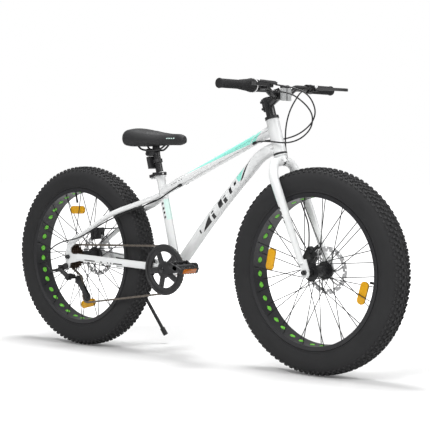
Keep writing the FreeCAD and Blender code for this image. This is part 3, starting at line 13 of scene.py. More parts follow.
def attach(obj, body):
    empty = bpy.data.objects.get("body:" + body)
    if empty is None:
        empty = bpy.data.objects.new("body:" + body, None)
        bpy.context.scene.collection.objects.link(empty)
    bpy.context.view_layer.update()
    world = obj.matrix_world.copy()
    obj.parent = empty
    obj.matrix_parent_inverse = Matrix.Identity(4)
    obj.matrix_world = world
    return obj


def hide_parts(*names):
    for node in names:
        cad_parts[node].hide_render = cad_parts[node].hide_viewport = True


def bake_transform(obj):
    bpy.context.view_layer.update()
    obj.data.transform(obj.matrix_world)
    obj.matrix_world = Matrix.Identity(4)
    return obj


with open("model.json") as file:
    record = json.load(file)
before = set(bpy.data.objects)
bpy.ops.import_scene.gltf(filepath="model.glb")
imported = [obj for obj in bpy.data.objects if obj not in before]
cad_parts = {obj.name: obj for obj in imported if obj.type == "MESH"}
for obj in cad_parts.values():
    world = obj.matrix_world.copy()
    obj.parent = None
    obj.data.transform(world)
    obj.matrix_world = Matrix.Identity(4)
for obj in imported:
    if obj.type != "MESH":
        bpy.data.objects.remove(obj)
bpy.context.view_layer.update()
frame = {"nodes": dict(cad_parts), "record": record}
MM = 0.001
WELD = 1e-6
ACROSS = Vector((0, 1, 0))
UP = Vector((0, 0, 1))
body_of_node = {node: body for body, nodes in frame["record"]["behaviour"]["bodies"].items() for node in nodes}


def mm(x, y, z):
    """A point given in millimetres."""
    return Vector((x, y, z)) * MM


def shifted(x, y, z):
    """A placement moved by millimetres."""
    return Matrix.Translation(mm(x, y, z))


# Reference points shared with the solids
REAR_AXLE = mm(-555, 0, 345)
FRONT_AXLE = mm(555, 0, 345)
CRANK = mm(-75, 0, 320)
STEER_UP = Vector((-math.cos(math.radians(73.5)), 0, math.sin(math.radians(73.5))))
STEER_FORE = Vector((STEER_UP.z, 0, -STEER_UP.x))
STEER_FOOT = FRONT_AXLE - STEER_FORE * 42 * MM
SEAT_UP = Vector((-math.cos(math.radians(76)), 0, math.sin(math.radians(76))))
SEAT_FORE = Vector((SEAT_UP.z, 0, -SEAT_UP.x))


def on_steerer(height, forward=0, side=0):
    return STEER_FOOT + (STEER_UP * height + STEER_FORE * forward + ACROSS * side) * MM


def on_seat_tube(height, forward=0, side=0):
    return CRANK + (SEAT_UP * height + SEAT_FORE * forward + ACROSS * side) * MM


def around(centre, radius, degrees, side):
    """A point on a circle about a crosswise axle, from +X towards +Z."""
    angle = math.radians(degrees)
    return centre + mm(radius * math.cos(angle), side, radius * math.sin(angle))


# Finishes
class Field:
    """A number that changes over a surface, held as a node socket, for arithmetic in a finish."""

    def __init__(self, tree, socket):
        self.tree = tree
        self.socket = socket

    def worked(self, operation, other=None, clamp=False, swapped=False):
        node = self.tree.nodes.new("ShaderNodeMath")
        node.operation = operation
        node.use_clamp = clamp
        first, second = (1, 0) if swapped else (0, 1)
        self.tree.links.new(self.socket, node.inputs[first])
        if isinstance(other, Field):
            self.tree.links.new(other.socket, node.inputs[second])
        elif other is not None:
            node.inputs[second].default_value = other
        return Field(self.tree, node.outputs[0])

    def __add__(self, other):
        return self.worked("ADD", other)

    def __sub__(self, other):
        return self.worked("SUBTRACT", other)

    def __rsub__(self, other):
        return self.worked("SUBTRACT", other, swapped=True)

    def __mul__(self, other):
        return self.worked("MULTIPLY", other)

    def above(self, limit, soft):
        """1 where the field is over a limit, 0 below it, with a soft edge."""
        return ((self - limit) * (1 / soft)).worked("ADD", 0.5, clamp=True)

    def between(self, low, high, soft=0.0004):
        return self.above(low, soft) * (1 - self.above(high, soft))

    def either(self, other):
        return self.worked("MAXIMUM", other)


def set_values(node, values):
    """Give a node's inputs their values."""
    for label, value in values.items():
        node.inputs[label].default_value = value


def grain_group():
    """Fine surface grain shared by every finish: a height for bumps and a tone for colour."""
    group = bpy.data.node_groups.new("surface_grain", "ShaderNodeTree")
    for label, way in (("Scale", "INPUT"), ("Contrast", "INPUT"), ("Height", "OUTPUT"), ("Tone", "OUTPUT")):
        group.interface.new_socket(label, in_out=way, socket_type="NodeSocketFloat")
    entry = group.nodes.new("NodeGroupInput")
    leave = group.nodes.new("NodeGroupOutput")
    place = group.nodes.new("ShaderNodeTexCoord")
    fine = group.nodes.new("ShaderNodeTexNoise")
    fine.inputs["Detail"].default_value = 4
    broad = group.nodes.new("ShaderNodeTexNoise")
    set_values(broad, {"Scale": 14, "Detail": 3})
    for noise in (fine, broad):
        group.links.new(place.outputs["Object"], noise.inputs["Vector"])
    group.links.new(entry.outputs["Scale"], fine.inputs["Scale"])
    both = Field(group, fine.outputs["Fac"]) + Field(group, broad.outputs["Fac"])
    contrast = Field(group, entry.outputs["Contrast"])
    tone = (both - 1.0) * contrast + 1.0
    group.links.new(fine.outputs["Fac"], leave.inputs["Height"])
    group.links.new(tone.socket, leave.inputs["Tone"])
    return group


GRAIN = grain_group()


class Finish:
    """One material: a principled surface with grain in its colour, roughness and bumps."""

    def __init__(self, name, colour, roughness, metallic=0.0, coat=0.0, scale=900, contrast=0.15,
                 bump=0.00003, rough_swing=0.12, specular=0.5):
        self.made = bpy.data.materials.new(name)
        self.made.use_nodes = True
        self.tree = self.made.node_tree
        self.shader = self.tree.nodes["Principled BSDF"]
        set_values(self.shader, {"Metallic": metallic, "Coat Weight": coat, "Coat Roughness": 0.06,
                                 "Specular IOR Level": specular})
        self.place = None
        grain = self.tree.nodes.new("ShaderNodeGroup")
        grain.node_tree = GRAIN
        set_values(grain, {"Scale": scale, "Contrast": contrast})
        self.tone = Field(self.tree, grain.outputs["Tone"])
        self.height = Field(self.tree, grain.outputs["Height"])
        self.bump = self.tree.nodes.new("ShaderNodeBump")
        self.bump.inputs["Distance"].default_value = bump
        self.tree.links.new(self.height.socket, self.bump.inputs["Height"])
        self.tree.links.new(self.bump.outputs["Normal"], self.shader.inputs["Normal"])
        rough = (self.height - 0.5) * rough_swing + roughness
        self.tree.links.new(rough.socket, self.shader.inputs["Roughness"])
        self.colour = self.tinted(colour)
        self.tree.links.new(self.colour, self.shader.inputs["Base Color"])

    def tinted(self, colour):
        """A colour that follows the grain's tone."""
        mix = self.tree.nodes.new("ShaderNodeMix")
        mix.data_type = "RGBA"
        mix.blend_type = "MULTIPLY"
        mix.inputs["Factor"].default_value = 1.0
        mix.inputs[6].default_value = (*colour, 1)
        self.tree.links.new(self.tone.socket, mix.inputs[7])
        return mix.outputs[2]

    def coordinates(self):
        """Object coordinates as three fields, in metres."""
        if self.place is None:
            source = self.tree.nodes.new("ShaderNodeTexCoord")
            split = self.tree.nodes.new("ShaderNodeSeparateXYZ")
            self.tree.links.new(source.outputs["Object"], split.inputs[0])
            self.place = [Field(self.tree, split.outputs[axis]) for axis in range(3)]
        return self.place

    def paint(self, mask, colour):
        """Lay a second colour over the surface where the mask is 1."""
        mix = self.tree.nodes.new("ShaderNodeMix")
        mix.data_type = "RGBA"
        self.tree.links.new(mask.socket, mix.inputs["Factor"])
        self.tree.links.new(self.colour, mix.inputs[6])
        mix.inputs[7].default_value = (*colour, 1)
        self.colour = mix.outputs[2]
        self.tree.links.new(self.colour, self.shader.inputs["Base Color"])

    def emboss(self, field, amount):
        """Add a pattern to the bumps."""
        total = self.height + field * amount
        self.tree.links.new(total.socket, self.bump.inputs["Height"])


WHITE = (0.80, 0.81, 0.81)
MINT = (0.30, 0.80, 0.68)
PALE_MINT = (0.66, 0.86, 0.80)
INK = (0.006, 0.006, 0.007)

rubber_side = Finish("tyre_rubber", (0.026, 0.026, 0.027), 0.80, scale=420, contrast=0.30, bump=0.00012,
                     specular=0.22)
rubber_knob = Finish("knob_rubber", (0.024, 0.024, 0.025), 0.72, scale=500, contrast=0.35, bump=0.00010,
                     specular=0.35)
rim_black = Finish("rim_black", (0.012, 0.012, 0.014), 0.40, coat=0.15, scale=700, contrast=0.2, specular=0.4)
lime = Finish("lime_strip", (0.17, 0.62, 0.05), 0.55, scale=600, contrast=0.25)
spoke_black = Finish("spoke_black", (0.012, 0.012, 0.013), 0.50, scale=1500, specular=0.3)
rotor_steel = Finish("rotor_steel", (0.56, 0.56, 0.57), 0.40, metallic=0.1, scale=1200, contrast=0.25, bump=0.00002)
bright_steel = Finish("zinc_steel", (0.55, 0.55, 0.55), 0.32, metallic=1.0, contrast=0.25)
silver_trim = Finish("silver_trim", (0.72, 0.72, 0.72), 0.34, metallic=0.2)
dark_steel = Finish("dark_steel", (0.050, 0.050, 0.052), 0.38, metallic=0.6, contrast=0.3)
worn_steel = Finish("brown_steel", (0.075, 0.050, 0.036), 0.42, metallic=0.7, scale=700, contrast=0.5)
gloss_black = Finish("gloss_black", (0.006, 0.006, 0.007), 0.24, coat=0.5, scale=800, contrast=0.2)
satin_black = Finish("satin_black", (0.011, 0.011, 0.012), 0.42, contrast=0.25, bump=0.00004)
moulded_black = Finish("moulded_black", (0.020, 0.020, 0.021), 0.50, scale=650, contrast=0.3, bump=0.00008)
grip_black = Finish("grip_rubber", (0.019, 0.019, 0.020), 0.75, scale=520, contrast=0.3, bump=0.00012, specular=0.3)
cable_black = Finish("cable_sleeve", (0.008, 0.008, 0.009), 0.42, coat=0.1, scale=1200, contrast=0.2, specular=0.35)
amber = Finish("amber_lens", (0.74, 0.37, 0.003), 0.30, coat=0.2, specular=0.3)
orange = Finish("orange_lens", (0.52, 0.14, 0.006), 0.24, coat=0.4, contrast=0.2)
chain_steel = Finish("chain_steel", (0.20, 0.175, 0.150), 0.40, metallic=0.8, scale=700, contrast=0.4)
red_lens = Finish("red_lens", (0.30, 0.012, 0.016), 0.25, coat=0.6)
clear_lens = Finish("clear_lens", (0.40, 0.41, 0.41), 0.22, coat=0.5, contrast=0.12)
vinyl = Finish("saddle_vinyl", (0.022, 0.022, 0.023), 0.60, scale=1500, contrast=0.25, bump=0.00010, specular=0.35)
PAINT = {"colour": WHITE, "roughness": 0.32, "coat": 0.3, "scale": 300, "contrast": 0.035, "bump": 0.000006,
         "rough_swing": 0.05}
white_paint = Finish("white_paint", **PAINT)
fork_paint = Finish("fork_paint", **PAINT)


def along_tube(paint, start, end):
    """Distances along and across a tube in the middle plane, as fields in metres."""
    x, _, z = paint.coordinates()
    way = (end - start).normalized()
    run = (x - start.x) * way.x + (z - start.z) * way.z
    rise = (x - start.x) * -way.z + (z - start.z) * way.x
    return run, rise


def any_of(masks):
    """One mask from many."""
    total = masks[0]
    for mask in masks[1:]:
        total = total.either(mask)
    return total


def decorate_frame(paint):
    """A tapered mint stripe on the top tube, slanted bars on the down tube, and small accents."""
    _, y, _ = paint.coordinates()
    run, rise = along_tube(paint, on_seat_tube(285), on_steerer(506))
    slant = run - rise * 1.76
    lower = (0.300 - run) * 0.069
    reach = slant.between(0.085, 0.472).either(slant.between(0.477, 0.499))
    paint.paint((rise - lower).above(0, 0.0006) * rise.between(-0.0125, 0.0115) * reach, MINT)
    specks = any_of([run.between(start, start + 0.007) for start in (0.060, 0.073, 0.083, 0.099, 0.112)])
    paint.paint(specks * rise.between(0.001, 0.0035), INK)
    run, rise = along_tube(paint, CRANK, mm(317.2, 0, 731.9))
    lean = run - rise * 0.45
    blocks = any_of([lean.between(start, end) * rise.between(low, high) for start, end, low, high in (
        (0.415, 0.429, 0.0015, 0.011), (0.384, 0.398, -0.005, 0.013), (0.344, 0.361, -0.008, 0.012),
        (0.313, 0.337, -0.004, 0.016), (0.267, 0.282, -0.009, 0.014), (0.186, 0.193, -0.004, 0.007))])
    slots = rise.between(0.0045, 0.0085) * any_of([lean.between(0.340, 0.363), lean.between(0.262, 0.285)])
    wedge = (run - rise * 2.92).above(0.2187, 0.0006) * rise.above(-0.0075, 0.0006)
    wedge = wedge * (1 - (run - rise * 0.56).above(0.2553, 0.0006))
    paint.paint(blocks * (1 - slots), INK)
    paint.paint(wedge, INK)
    slash = run.above(0.4415, 0.0006) * (1 - (run - rise * 1.7).above(0.4610, 0.0006))
    paint.paint(slash * rise.between(-0.003, 0.0185), MINT)
    edge = run - rise * 3.0
    paint.paint(edge.between(0.4640, 0.4830) * rise.between(-0.0065, 0.0140), INK)
    paint.paint(edge.between(0.4745, 0.4820) * rise.between(0.0135, 0.0200), INK)
    run, rise = along_tube(paint, CRANK, on_seat_tube(355))
    narrow = y.between(-0.03, 0.03)
    paint.paint(rise.between(-0.0175, -0.0065) * run.between(0.180, 0.256) * narrow, PALE_MINT)
    ticks = any_of([(run + rise * 0.4).between(start, start + 0.008) for start in (0.186, 0.203, 0.219, 0.237)])
    paint.paint(ticks * rise.between(-0.0050, 0.0025) * narrow, INK)
    run, rise = along_tube(paint, mm(-83, 0, 322), mm(-509, 0, 345))
    outside = y.worked("ABSOLUTE").above(0.045, 0.0005)
    marks = any_of([run.between(start, start + width) for start, width in (
        (0.335, 0.050), (0.300, 0.009), (0.271, 0.005), (0.256, 0.005), (0.206, 0.042))])
    paint.paint(marks * rise.between(0.0042, 0.0088) * outside, INK)


def decorate_fork(paint):
    """A pale wedge and a few dark marks along the back of each leg."""
    _, y, _ = paint.coordinates()
    run, rise = along_tube(paint, on_steerer(340, 3), on_steerer(30, 36))
    outside = y.worked("ABSOLUTE").above(0.066, 0.0006)
    paint.paint((run + rise * 2.0).between(0.008, 0.074) * rise.between(-0.022, -0.007) * outside, PALE_MINT)
    marks = any_of([(run - rise * 0.6).between(start, start + width) for start, width in (
        (0.112, 0.009), (0.127, 0.013), (0.146, 0.007), (0.158, 0.012))])
    paint.paint(marks * rise.between(-0.0135, -0.0035) * outside, INK)


def decorate_saddle(cover):
    """Small pale dashes low on each side of the nose."""
    x, _, z = cover.coordinates()
    dashes = any_of([x.between(start, start + 0.007) for start in (-0.112, -0.102, -0.092, -0.082)])
    cover.paint(dashes * z.between(0.7895, 0.7925), PALE_MINT)


decorate_frame(white_paint)
decorate_fork(fork_paint)
decorate_saddle(vinyl)


def lens_pattern(finish, cell):
    """Small moulded prisms, raised in a grid."""
    x, y, z = finish.coordinates()
    wave = [(axis * (2 * math.pi / cell)).worked("SINE") for axis in (x + y * 0.3, z)]
    finish.emboss(wave[0] * wave[1], 6.0)


lens_pattern(amber, 0.006)
lens_pattern(red_lens, 0.006)
lens_pattern(clear_lens, 0.007)


# Making pieces
def finished(name, bm, finish, body, replaced=(), smooth=35, thin_bevel=0.0):
    """Turn a bmesh into a piece of the bicycle that rides on a body."""
    mesh = bpy.data.meshes.new(name)
    bmesh.ops.remove_doubles(bm, verts=bm.verts, dist=WELD)
    bm.normal_update()
    bm.to_mesh(mesh)
    bm.free()
    piece = bpy.data.objects.new(name, mesh)
    bpy.context.scene.collection.objects.link(piece)
    mesh.materials.append(finish.made)
    mesh.shade_smooth()
    mesh.set_sharp_from_angle(angle=math.radians(smooth))
    if thin_bevel:
        rounding = piece.modifiers.new("rounding", "BEVEL")
        rounding.width = thin_bevel
        rounding.segments = 2
        rounding.limit_method = "ANGLE"
        rounding.angle_limit = math.radians(40)
        rounding.harden_normals = True
    if body:
        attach(piece, body)
    if replaced:
        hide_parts(*replaced)
    return piece


def placed(bm, place):
    """A bmesh moved by a placement."""
    bmesh.ops.transform(bm, matrix=place, verts=bm.verts)
    return bm


def bevel(bm, edges, size, segments=2, clamp=False):
    """Round off edges by a size in millimetres."""
    bmesh.ops.bevel(bm, geom=edges, offset=size * MM, affect="EDGES", segments=segments, profile=0.5, material=-1,
                    clamp_overlap=clamp)


def add(bm, other, place=None):
    """Put one bmesh into another and free it."""
    if place is not None:
        placed(other, place)
    holder = bpy.data.meshes.new("holder")
    other.to_mesh(holder)
    other.free()
    bm.from_mesh(holder)
    bpy.data.meshes.remove(holder)


def aimed(start, direction):
    """A placement at start whose Z points along a direction."""
    return Matrix.Translation(start) @ UP.rotation_difference(direction).to_matrix().to_4x4()


def facing(origin, forward, upward):
    """A placement with its X forward and its Z nearly upward."""
    x = forward.normalized()
    y = upward.cross(x).normalized()
    z = x.cross(y)
    turn = Matrix((x, y, z)).transposed().to_4x4()
    return Matrix.Translation(origin) @ turn


def rounded_box(length, width, height, edge):
    """A block about the origin, in millimetres, with its edges rounded where asked."""
    bm = bmesh.new()
    bmesh.ops.create_cube(bm, size=1)
    bmesh.ops.scale(bm, vec=mm(length, width, height), verts=bm.verts)
    if edge:
        bevel(bm, bm.edges[:], edge, clamp=True)
    return bm


def rod(bm, start, end, radius, last_radius=None, edge=0.5, sides=24):
    """A round bar between two points, with a small rounding at each end."""
    bar = bmesh.new()
    length = (end - start).length
    last = radius if last_radius is None else last_radius
    bmesh.ops.create_cone(bar, cap_ends=True, segments=sides, radius1=radius * MM, radius2=last * MM, depth=length)
    if edge:
        rims = [e for e in bar.edges if abs(e.verts[0].co.z - e.verts[1].co.z) < 1e-9]
        bevel(bar, rims, edge)
    add(bm, bar, aimed((start + end) / 2, end - start))


def rods(*bars):
    """A new bmesh of round bars, each given as for rod."""
    bm = bmesh.new()
    for bar in bars:
        rod(bm, *bar)
    return bm


def spun(bm, corners, edges, steps):
    """Sweep a profile once about the Y axis."""
    bmesh.ops.spin(bm, geom=corners + edges, cent=(0, 0, 0), axis=ACROSS, angle=2 * math.pi, steps=steps,
                   use_merge=True, use_duplicate=False)
    bmesh.ops.remove_doubles(bm, verts=bm.verts, dist=WELD)


def lathe(profile, steps=96):
    """A ring turned about the Y axis from (radius, side) corners in millimetres."""
    bm = bmesh.new()
    corners = [bm.verts.new(mm(0, side, radius)) for radius, side in profile]
    edges = [bm.edges.new(pair) for pair in zip(corners, corners[1:] + corners[:1])]
    spun(bm, corners, edges, steps)
    bmesh.ops.recalc_face_normals(bm, faces=bm.faces)
    return bm


def lathe_place(start, direction):
    """The placement of a lathe shape whose axis runs from a point along a direction."""
    return Matrix.Translation(start) @ ACROSS.rotation_difference(direction).to_matrix().to_4x4()


def turned_along(profile, start, direction, steps=48):
    """A lathe shape whose axis runs from a point along a direction."""
    return placed(lathe(profile, steps), lathe_place(start, direction))


def slab(outline, thickness):
    """A flat plate from corners in millimetres, raised along Z from 0 to its thickness."""
    bm = bmesh.new()
    face = bm.faces.new([bm.verts.new(mm(u, v, 0)) for u, v in outline])
    grown = bmesh.ops.extrude_face_region(bm, geom=[face])
    top = [item for item in grown["geom"] if isinstance(item, bmesh.types.BMVert)]
    bmesh.ops.translate(bm, verts=top, vec=mm(0, 0, thickness))
    bmesh.ops.recalc_face_normals(bm, faces=bm.faces)
    return bm


def tube_mesh(name, points, radius):
    """A smooth tube along a spline whose control points are given in millimetres."""
    line = bpy.data.curves.new(name, "CURVE")
    line.dimensions = "3D"
    line.bevel_depth = radius * MM
    line.bevel_resolution = 4
    line.resolution_u = 8
    line.use_fill_caps = True
    spline = line.splines.new("NURBS")
    spline.points.add(len(points) - 1)
    for point, place in zip(spline.points, points):
        point.co = (*(Vector(place) * MM), 1)
    spline.order_u = 3
    spline.use_endpoint_u = True
    holder = bpy.data.objects.new(name, line)
    bpy.context.scene.collection.objects.link(holder)
    bpy.context.view_layer.update()
    seen = holder.evaluated_get(bpy.context.evaluated_depsgraph_get())
    mesh = bpy.data.meshes.new_from_object(seen)
    bpy.data.objects.remove(holder)
    bpy.data.curves.remove(line)
    bm = bmesh.new()
    bm.from_mesh(mesh)
    bpy.data.meshes.remove(mesh)
    bmesh.ops.remove_doubles(bm, verts=bm.verts, dist=WELD)
    return bm


def dressed(node, finish, rounding=0.0, smooth=32, swell=0.0):
    """A CAD node's own shape, merged, smoothed, rounded at its edges and swelled a little where asked."""
    bm = bmesh.new()
    bm.from_mesh(frame["nodes"][node].data)
    bmesh.ops.remove_doubles(bm, verts=bm.verts, dist=2e-6)
    bmesh.ops.dissolve_limit(bm, angle_limit=math.radians(0.5), verts=bm.verts, edges=bm.edges)
    piece = finished(f"{node}_dressed", bm, finish, body_of_node[node], [node], smooth, rounding)
    if swell:
        fuller = piece.modifiers.new("fuller", "DISPLACE")
        fuller.mid_level = 0
        fuller.strength = swell
    return piece


# Tyres: a smooth casing with rows of knobs
CASING = [(258, 35.0), (262, 36.6), (263.5, 38.4), (266, 38.6), (268, 38.2), (274, 42.0), (285, 46.4), (296, 48.2),
          (306, 47.8), (316, 45.4), (325, 41.0), (331, 35.8), (335, 28.4), (337.6, 18.4), (338.8, 8), (339, 0)]
KNOB_PITCHES = 96
KNOB_ROOT = 2.5
# radius, side, tilt, length round the tyre, width, height, share of a pitch round
KNOBS = [(338.6, 6.8, 2, 11.5, 9.5, 5.2, 0.0), (337.8, 17.6, 7, 13.0, 9.0, 5.4, 0.5),
         (334.6, 28.0, 20, 10.0, 9.5, 5.6, 0.15), (328.8, 36.8, 40, 11.5, 7.5, 4.4, 0.6)]


def tyre(name, axle):
    outline = CASING + [(radius, -side) for radius, side in CASING[-2::-1]]
    casing = lathe(outline, 144)
    bmesh.ops.translate(casing, verts=casing.verts, vec=axle)
    finished(f"{name}_casing", casing, rubber_side, f"{name}_wheel", [f"{name}_tyre"])
    knobs = bmesh.new()
    for radius, side, tilt, length, width, height, share in KNOBS:
        for hand in (1, -1):
            block = rounded_box(length, width, height + KNOB_ROOT, 0)
            upper = [v for v in block.verts if v.co.z > 0]
            bmesh.ops.scale(block, vec=(0.80, 0.82, 1), verts=upper)
            edges = [e for e in block.edges if any(v in upper for v in e.verts)]
            bevel(block, edges, 1.0, 1)
            seat = Matrix.Rotation(math.radians(-hand * tilt), 4, "X")
            seat = seat @ Matrix.Translation(mm(0, 0, (height - KNOB_ROOT) / 2))
            step = Matrix.Rotation(2 * math.pi / KNOB_PITCHES * share, 4, "Y")
            add(knobs, block, step @ shifted(0, hand * side, radius) @ seat)
    bmesh.ops.spin(knobs, geom=knobs.verts[:] + knobs.edges[:] + knobs.faces[:], cent=(0, 0, 0), axis=ACROSS,
                   angle=2 * math.pi, steps=KNOB_PITCHES, use_duplicate=True, use_merge=False)
    bmesh.ops.remove_doubles(knobs, verts=knobs.verts, dist=WELD)
    bmesh.ops.translate(knobs, verts=knobs.verts, vec=axle)
    finished(f"{name}_knobs", knobs, rubber_knob, f"{name}_wheel")


def on_wheel(axle, radius, degrees, side=0):
    """A placement on a wheel: Z points to the axle, Y across, X round the wheel."""
    at = around(axle, radius, degrees, side)
    inward = (axle + ACROSS * side * MM - at).normalized()
    turn = Matrix((ACROSS.cross(inward), ACROSS, inward)).transposed().to_4x4()
    return Matrix.Translation(at) @ turn


RIM_HOLES = 36


def rim_strip(name, axle, phase, valve_angle):
    """The coloured band over the tube, pressed into the rim's holes, and the valve."""
    band = lathe([(249.1, -27), (249.9, -27), (249.9, 27), (249.1, 27)], 144)
    bmesh.ops.translate(band, verts=band.verts, vec=axle)
    for index in range(RIM_HOLES):
        stagger = 0.5 if index % 2 else -0.5
        dome = bmesh.new()
        bmesh.ops.create_cone(dome, cap_ends=True, segments=20, radius1=10.8 * MM, radius2=8.8 * MM, depth=4.4 * MM)
        lip = [e for e in dome.edges if e.verts[0].co.z > 0 and e.verts[1].co.z > 0]
        bevel(dome, lip, 1.8)
        add(band, dome, on_wheel(axle, 247.0, phase + (index + 0.5) * 360 / RIM_HOLES + stagger))
    finished(f"{name}_rim_strip", band, lime, f"{name}_wheel", [f"{name}_inner_tube"])
    base = around(axle, 248, valve_angle, 0)
    inward = (axle - base).normalized()
    valve = rods((base, base + inward * 30 * MM, 3.6, 3.3),
                 (base + inward * 28 * MM, base + inward * 40 * MM, 4.2, 4.0, 0.8))
    finished(f"{name}_valve", valve, satin_black, f"{name}_wheel")


ROTOR_ARMS = 6


def drilled_rotor(name, axle, side):
    """A brake disc with a drilled outer track and slanted arms."""
    track = bmesh.new()
    corners = [track.verts.new(mm(0, 0, radius)) for radius in (63, 71.5, 80)]
    edges = [track.edges.new(pair) for pair in zip(corners, corners[1:])]
    spun(track, corners, edges, 48)
    cells = track.faces[:]
    bmesh.ops.inset_individual(track, faces=cells, thickness=2.1 * MM)
    drilled = [face for index, face in enumerate(cells) if index % 3 == 1]
    bmesh.ops.delete(track, geom=drilled, context="FACES")
    bmesh.ops.recalc_face_normals(track, faces=track.faces)
    bmesh.ops.solidify(track, geom=track.faces[:], thickness=2 * MM)
    bmesh.ops.translate(track, verts=track.verts, vec=axle + mm(0, side + 1, 0))
    for index in range(ROTOR_ARMS):
        arm = slab([(22, -7), (45, -1), (64, 11), (65, 18), (59, 15), (42, 4), (22, 3)], 2)
        add(track, arm, side_place(axle + mm(0, side + 1, 0), index * 360 / ROTOR_ARMS))
    carrier = lathe([(17.5, -1.2), (27, -1.2), (27, 1.2), (17.5, 1.2)], 48)
    add(track, carrier, Matrix.Translation(axle + mm(0, side, 0)))
    for index in range(ROTOR_ARMS):
        head = around(axle, 22, 30 + index * 360 / ROTOR_ARMS, side + 1)
        rod(track, head, head + mm(0, 2.6, 0), 3.4, None, 0.6, 12)
    finished(f"{name}_disc", track, rotor_steel, f"{name}_wheel", [f"{name}_rotor"])


def side_place(origin, degrees):
    """A placement for plates seen from the right: X turned up from forward, Z towards the right."""
    angle = math.radians(degrees)
    along = Vector((math.cos(angle), 0, math.sin(angle)))
    upward = Vector((-math.sin(angle), 0, math.cos(angle)))
    return Matrix.Translation(origin) @ Matrix((along, upward, -ACROSS)).transposed().to_4x4()


def spoke_reflectors(name, axle, places):
    """Rounded amber reflectors behind the right spokes, each with a clip at its back."""
    lenses = bmesh.new()
    clips = bmesh.new()
    for angle, radius, tilt in places:
        lens = bmesh.new()
        bmesh.ops.create_cube(lens, size=1)
        bmesh.ops.scale(lens, vec=mm(77, 8, 30), verts=lens.verts)
        corners = [e for e in lens.edges if abs(e.verts[0].co.y - e.verts[1].co.y) > WELD]
        bevel(lens, corners, 13.5, 6)
        rims = [e for e in lens.edges if abs(e.verts[0].co.y - e.verts[1].co.y) < WELD and len(e.link_faces) == 2
                and max(len(f.verts) for f in e.link_faces) > 4]
        bevel(lens, rims, 1.4)
        place = on_wheel(axle, radius, angle, -18.5) @ Matrix.Rotation(math.radians(tilt), 4, "Y")
        add(lenses, lens, place)
        add(clips, rounded_box(16, 3.2, 9, 1.0), place @ shifted(0, 5.0, 0))
    finished(f"{name}_amber_reflectors", lenses, amber, f"{name}_wheel", [f"{name}_wheel_reflectors"])
    finished(f"{name}_reflector_clips", clips, satin_black, f"{name}_wheel")


for side_name, side_axle, hole_phase, valve_at, lens_at, disc_side in (
        ("front", FRONT_AXLE, 9.5, -7, ((170, 186, 2), (-17, 200, 0)), 52),
        ("rear", REAR_AXLE, 0.4, 103, ((98, 178, 7), (-80, 185, -4)), 67)):
    tyre(side_name, side_axle)
    rim_strip(side_name, side_axle, hole_phase, valve_at)
    drilled_rotor(side_name, side_axle, disc_side)
    spoke_reflectors(side_name, side_axle, lens_at)
    dressed(f"{side_name}_rim", rim_black, 0.0008)
    dressed(f"{side_name}_spokes", spoke_black, swell=0.00045)
    dressed(f"{side_name}_hub", satin_black, 0.0008)
    dressed(f"{side_name}_axle", dark_steel, 0.0006)
    dressed(f"{side_name}_caliper", satin_black, 0.0015)
    dressed(f"{side_name}_caliper_arm", satin_black, 0.0008)

# Pieces that keep the solids' own shapes
dressed("frame", white_paint)
dressed("fork", fork_paint)
ring_black = Finish("ring_black", (0.011, 0.011, 0.012), 0.42, contrast=0.25, bump=0.00004)
height, _ = along_tube(ring_black, on_steerer(0), on_steerer(600))
ring_black.paint(1 - height.above(0.4125, 0.0006), WHITE)
dressed("headset_cups", ring_black, 0.0010)
collar_white = Finish("collar_white", WHITE, 0.32, coat=0.3, contrast=0.06, bump=0.00002)
dressed("seat_collar", collar_white, 0.0010)
for node in ("bottom_bracket_cups", "stem_hardware", "kickstand", "brake_lever_right", "brake_lever_left",
             "lever_perches"):
    dressed(node, satin_black, 0.0010)
for node in ("stem", "handlebar", "seat_post"):
    dressed(node, gloss_black, 0.0010)
for node in ("shifter_housing", "guide_pulley", "tension_pulley", "chainring", "derailleur_link",
             "derailleur_knuckle", "derailleur_body", "rear_reflector"):
    dressed(node, moulded_black, 0.0008)
for node in ("crank_arm_right", "crank_arm_left"):
    dressed(node, satin_black, 0.0030)
dressed("chain_guard", moulded_black, 0.0012)
dressed("crank_spindle", bright_steel)
dressed("freewheel", worn_steel)
dressed("front_reflector", clear_lens, 0.0015)


# Saddle: the solid's skin, blown up a little like foam under vinyl, then shaped to a flat rear and a low nose
SADDLE_SLIMMING = (0.985, 0.95, 0.93)
SADDLE_MIDDLE = mm(-168.5, 0, 797)
CLOTH_FRAMES = 20
MOST_STUFFING = 3 * MM
SADDLE_FOOT, SADDLE_DEPTH, SADDLE_DROP = 0.772, 0.05, 0.003
NOSE_START, NOSE_RAMP, NOSE_DROP = -0.19, 0.10, 0.006
REAR_START, REAR_RAMP, REAR_LIFT = -0.215, 0.06, 0.005


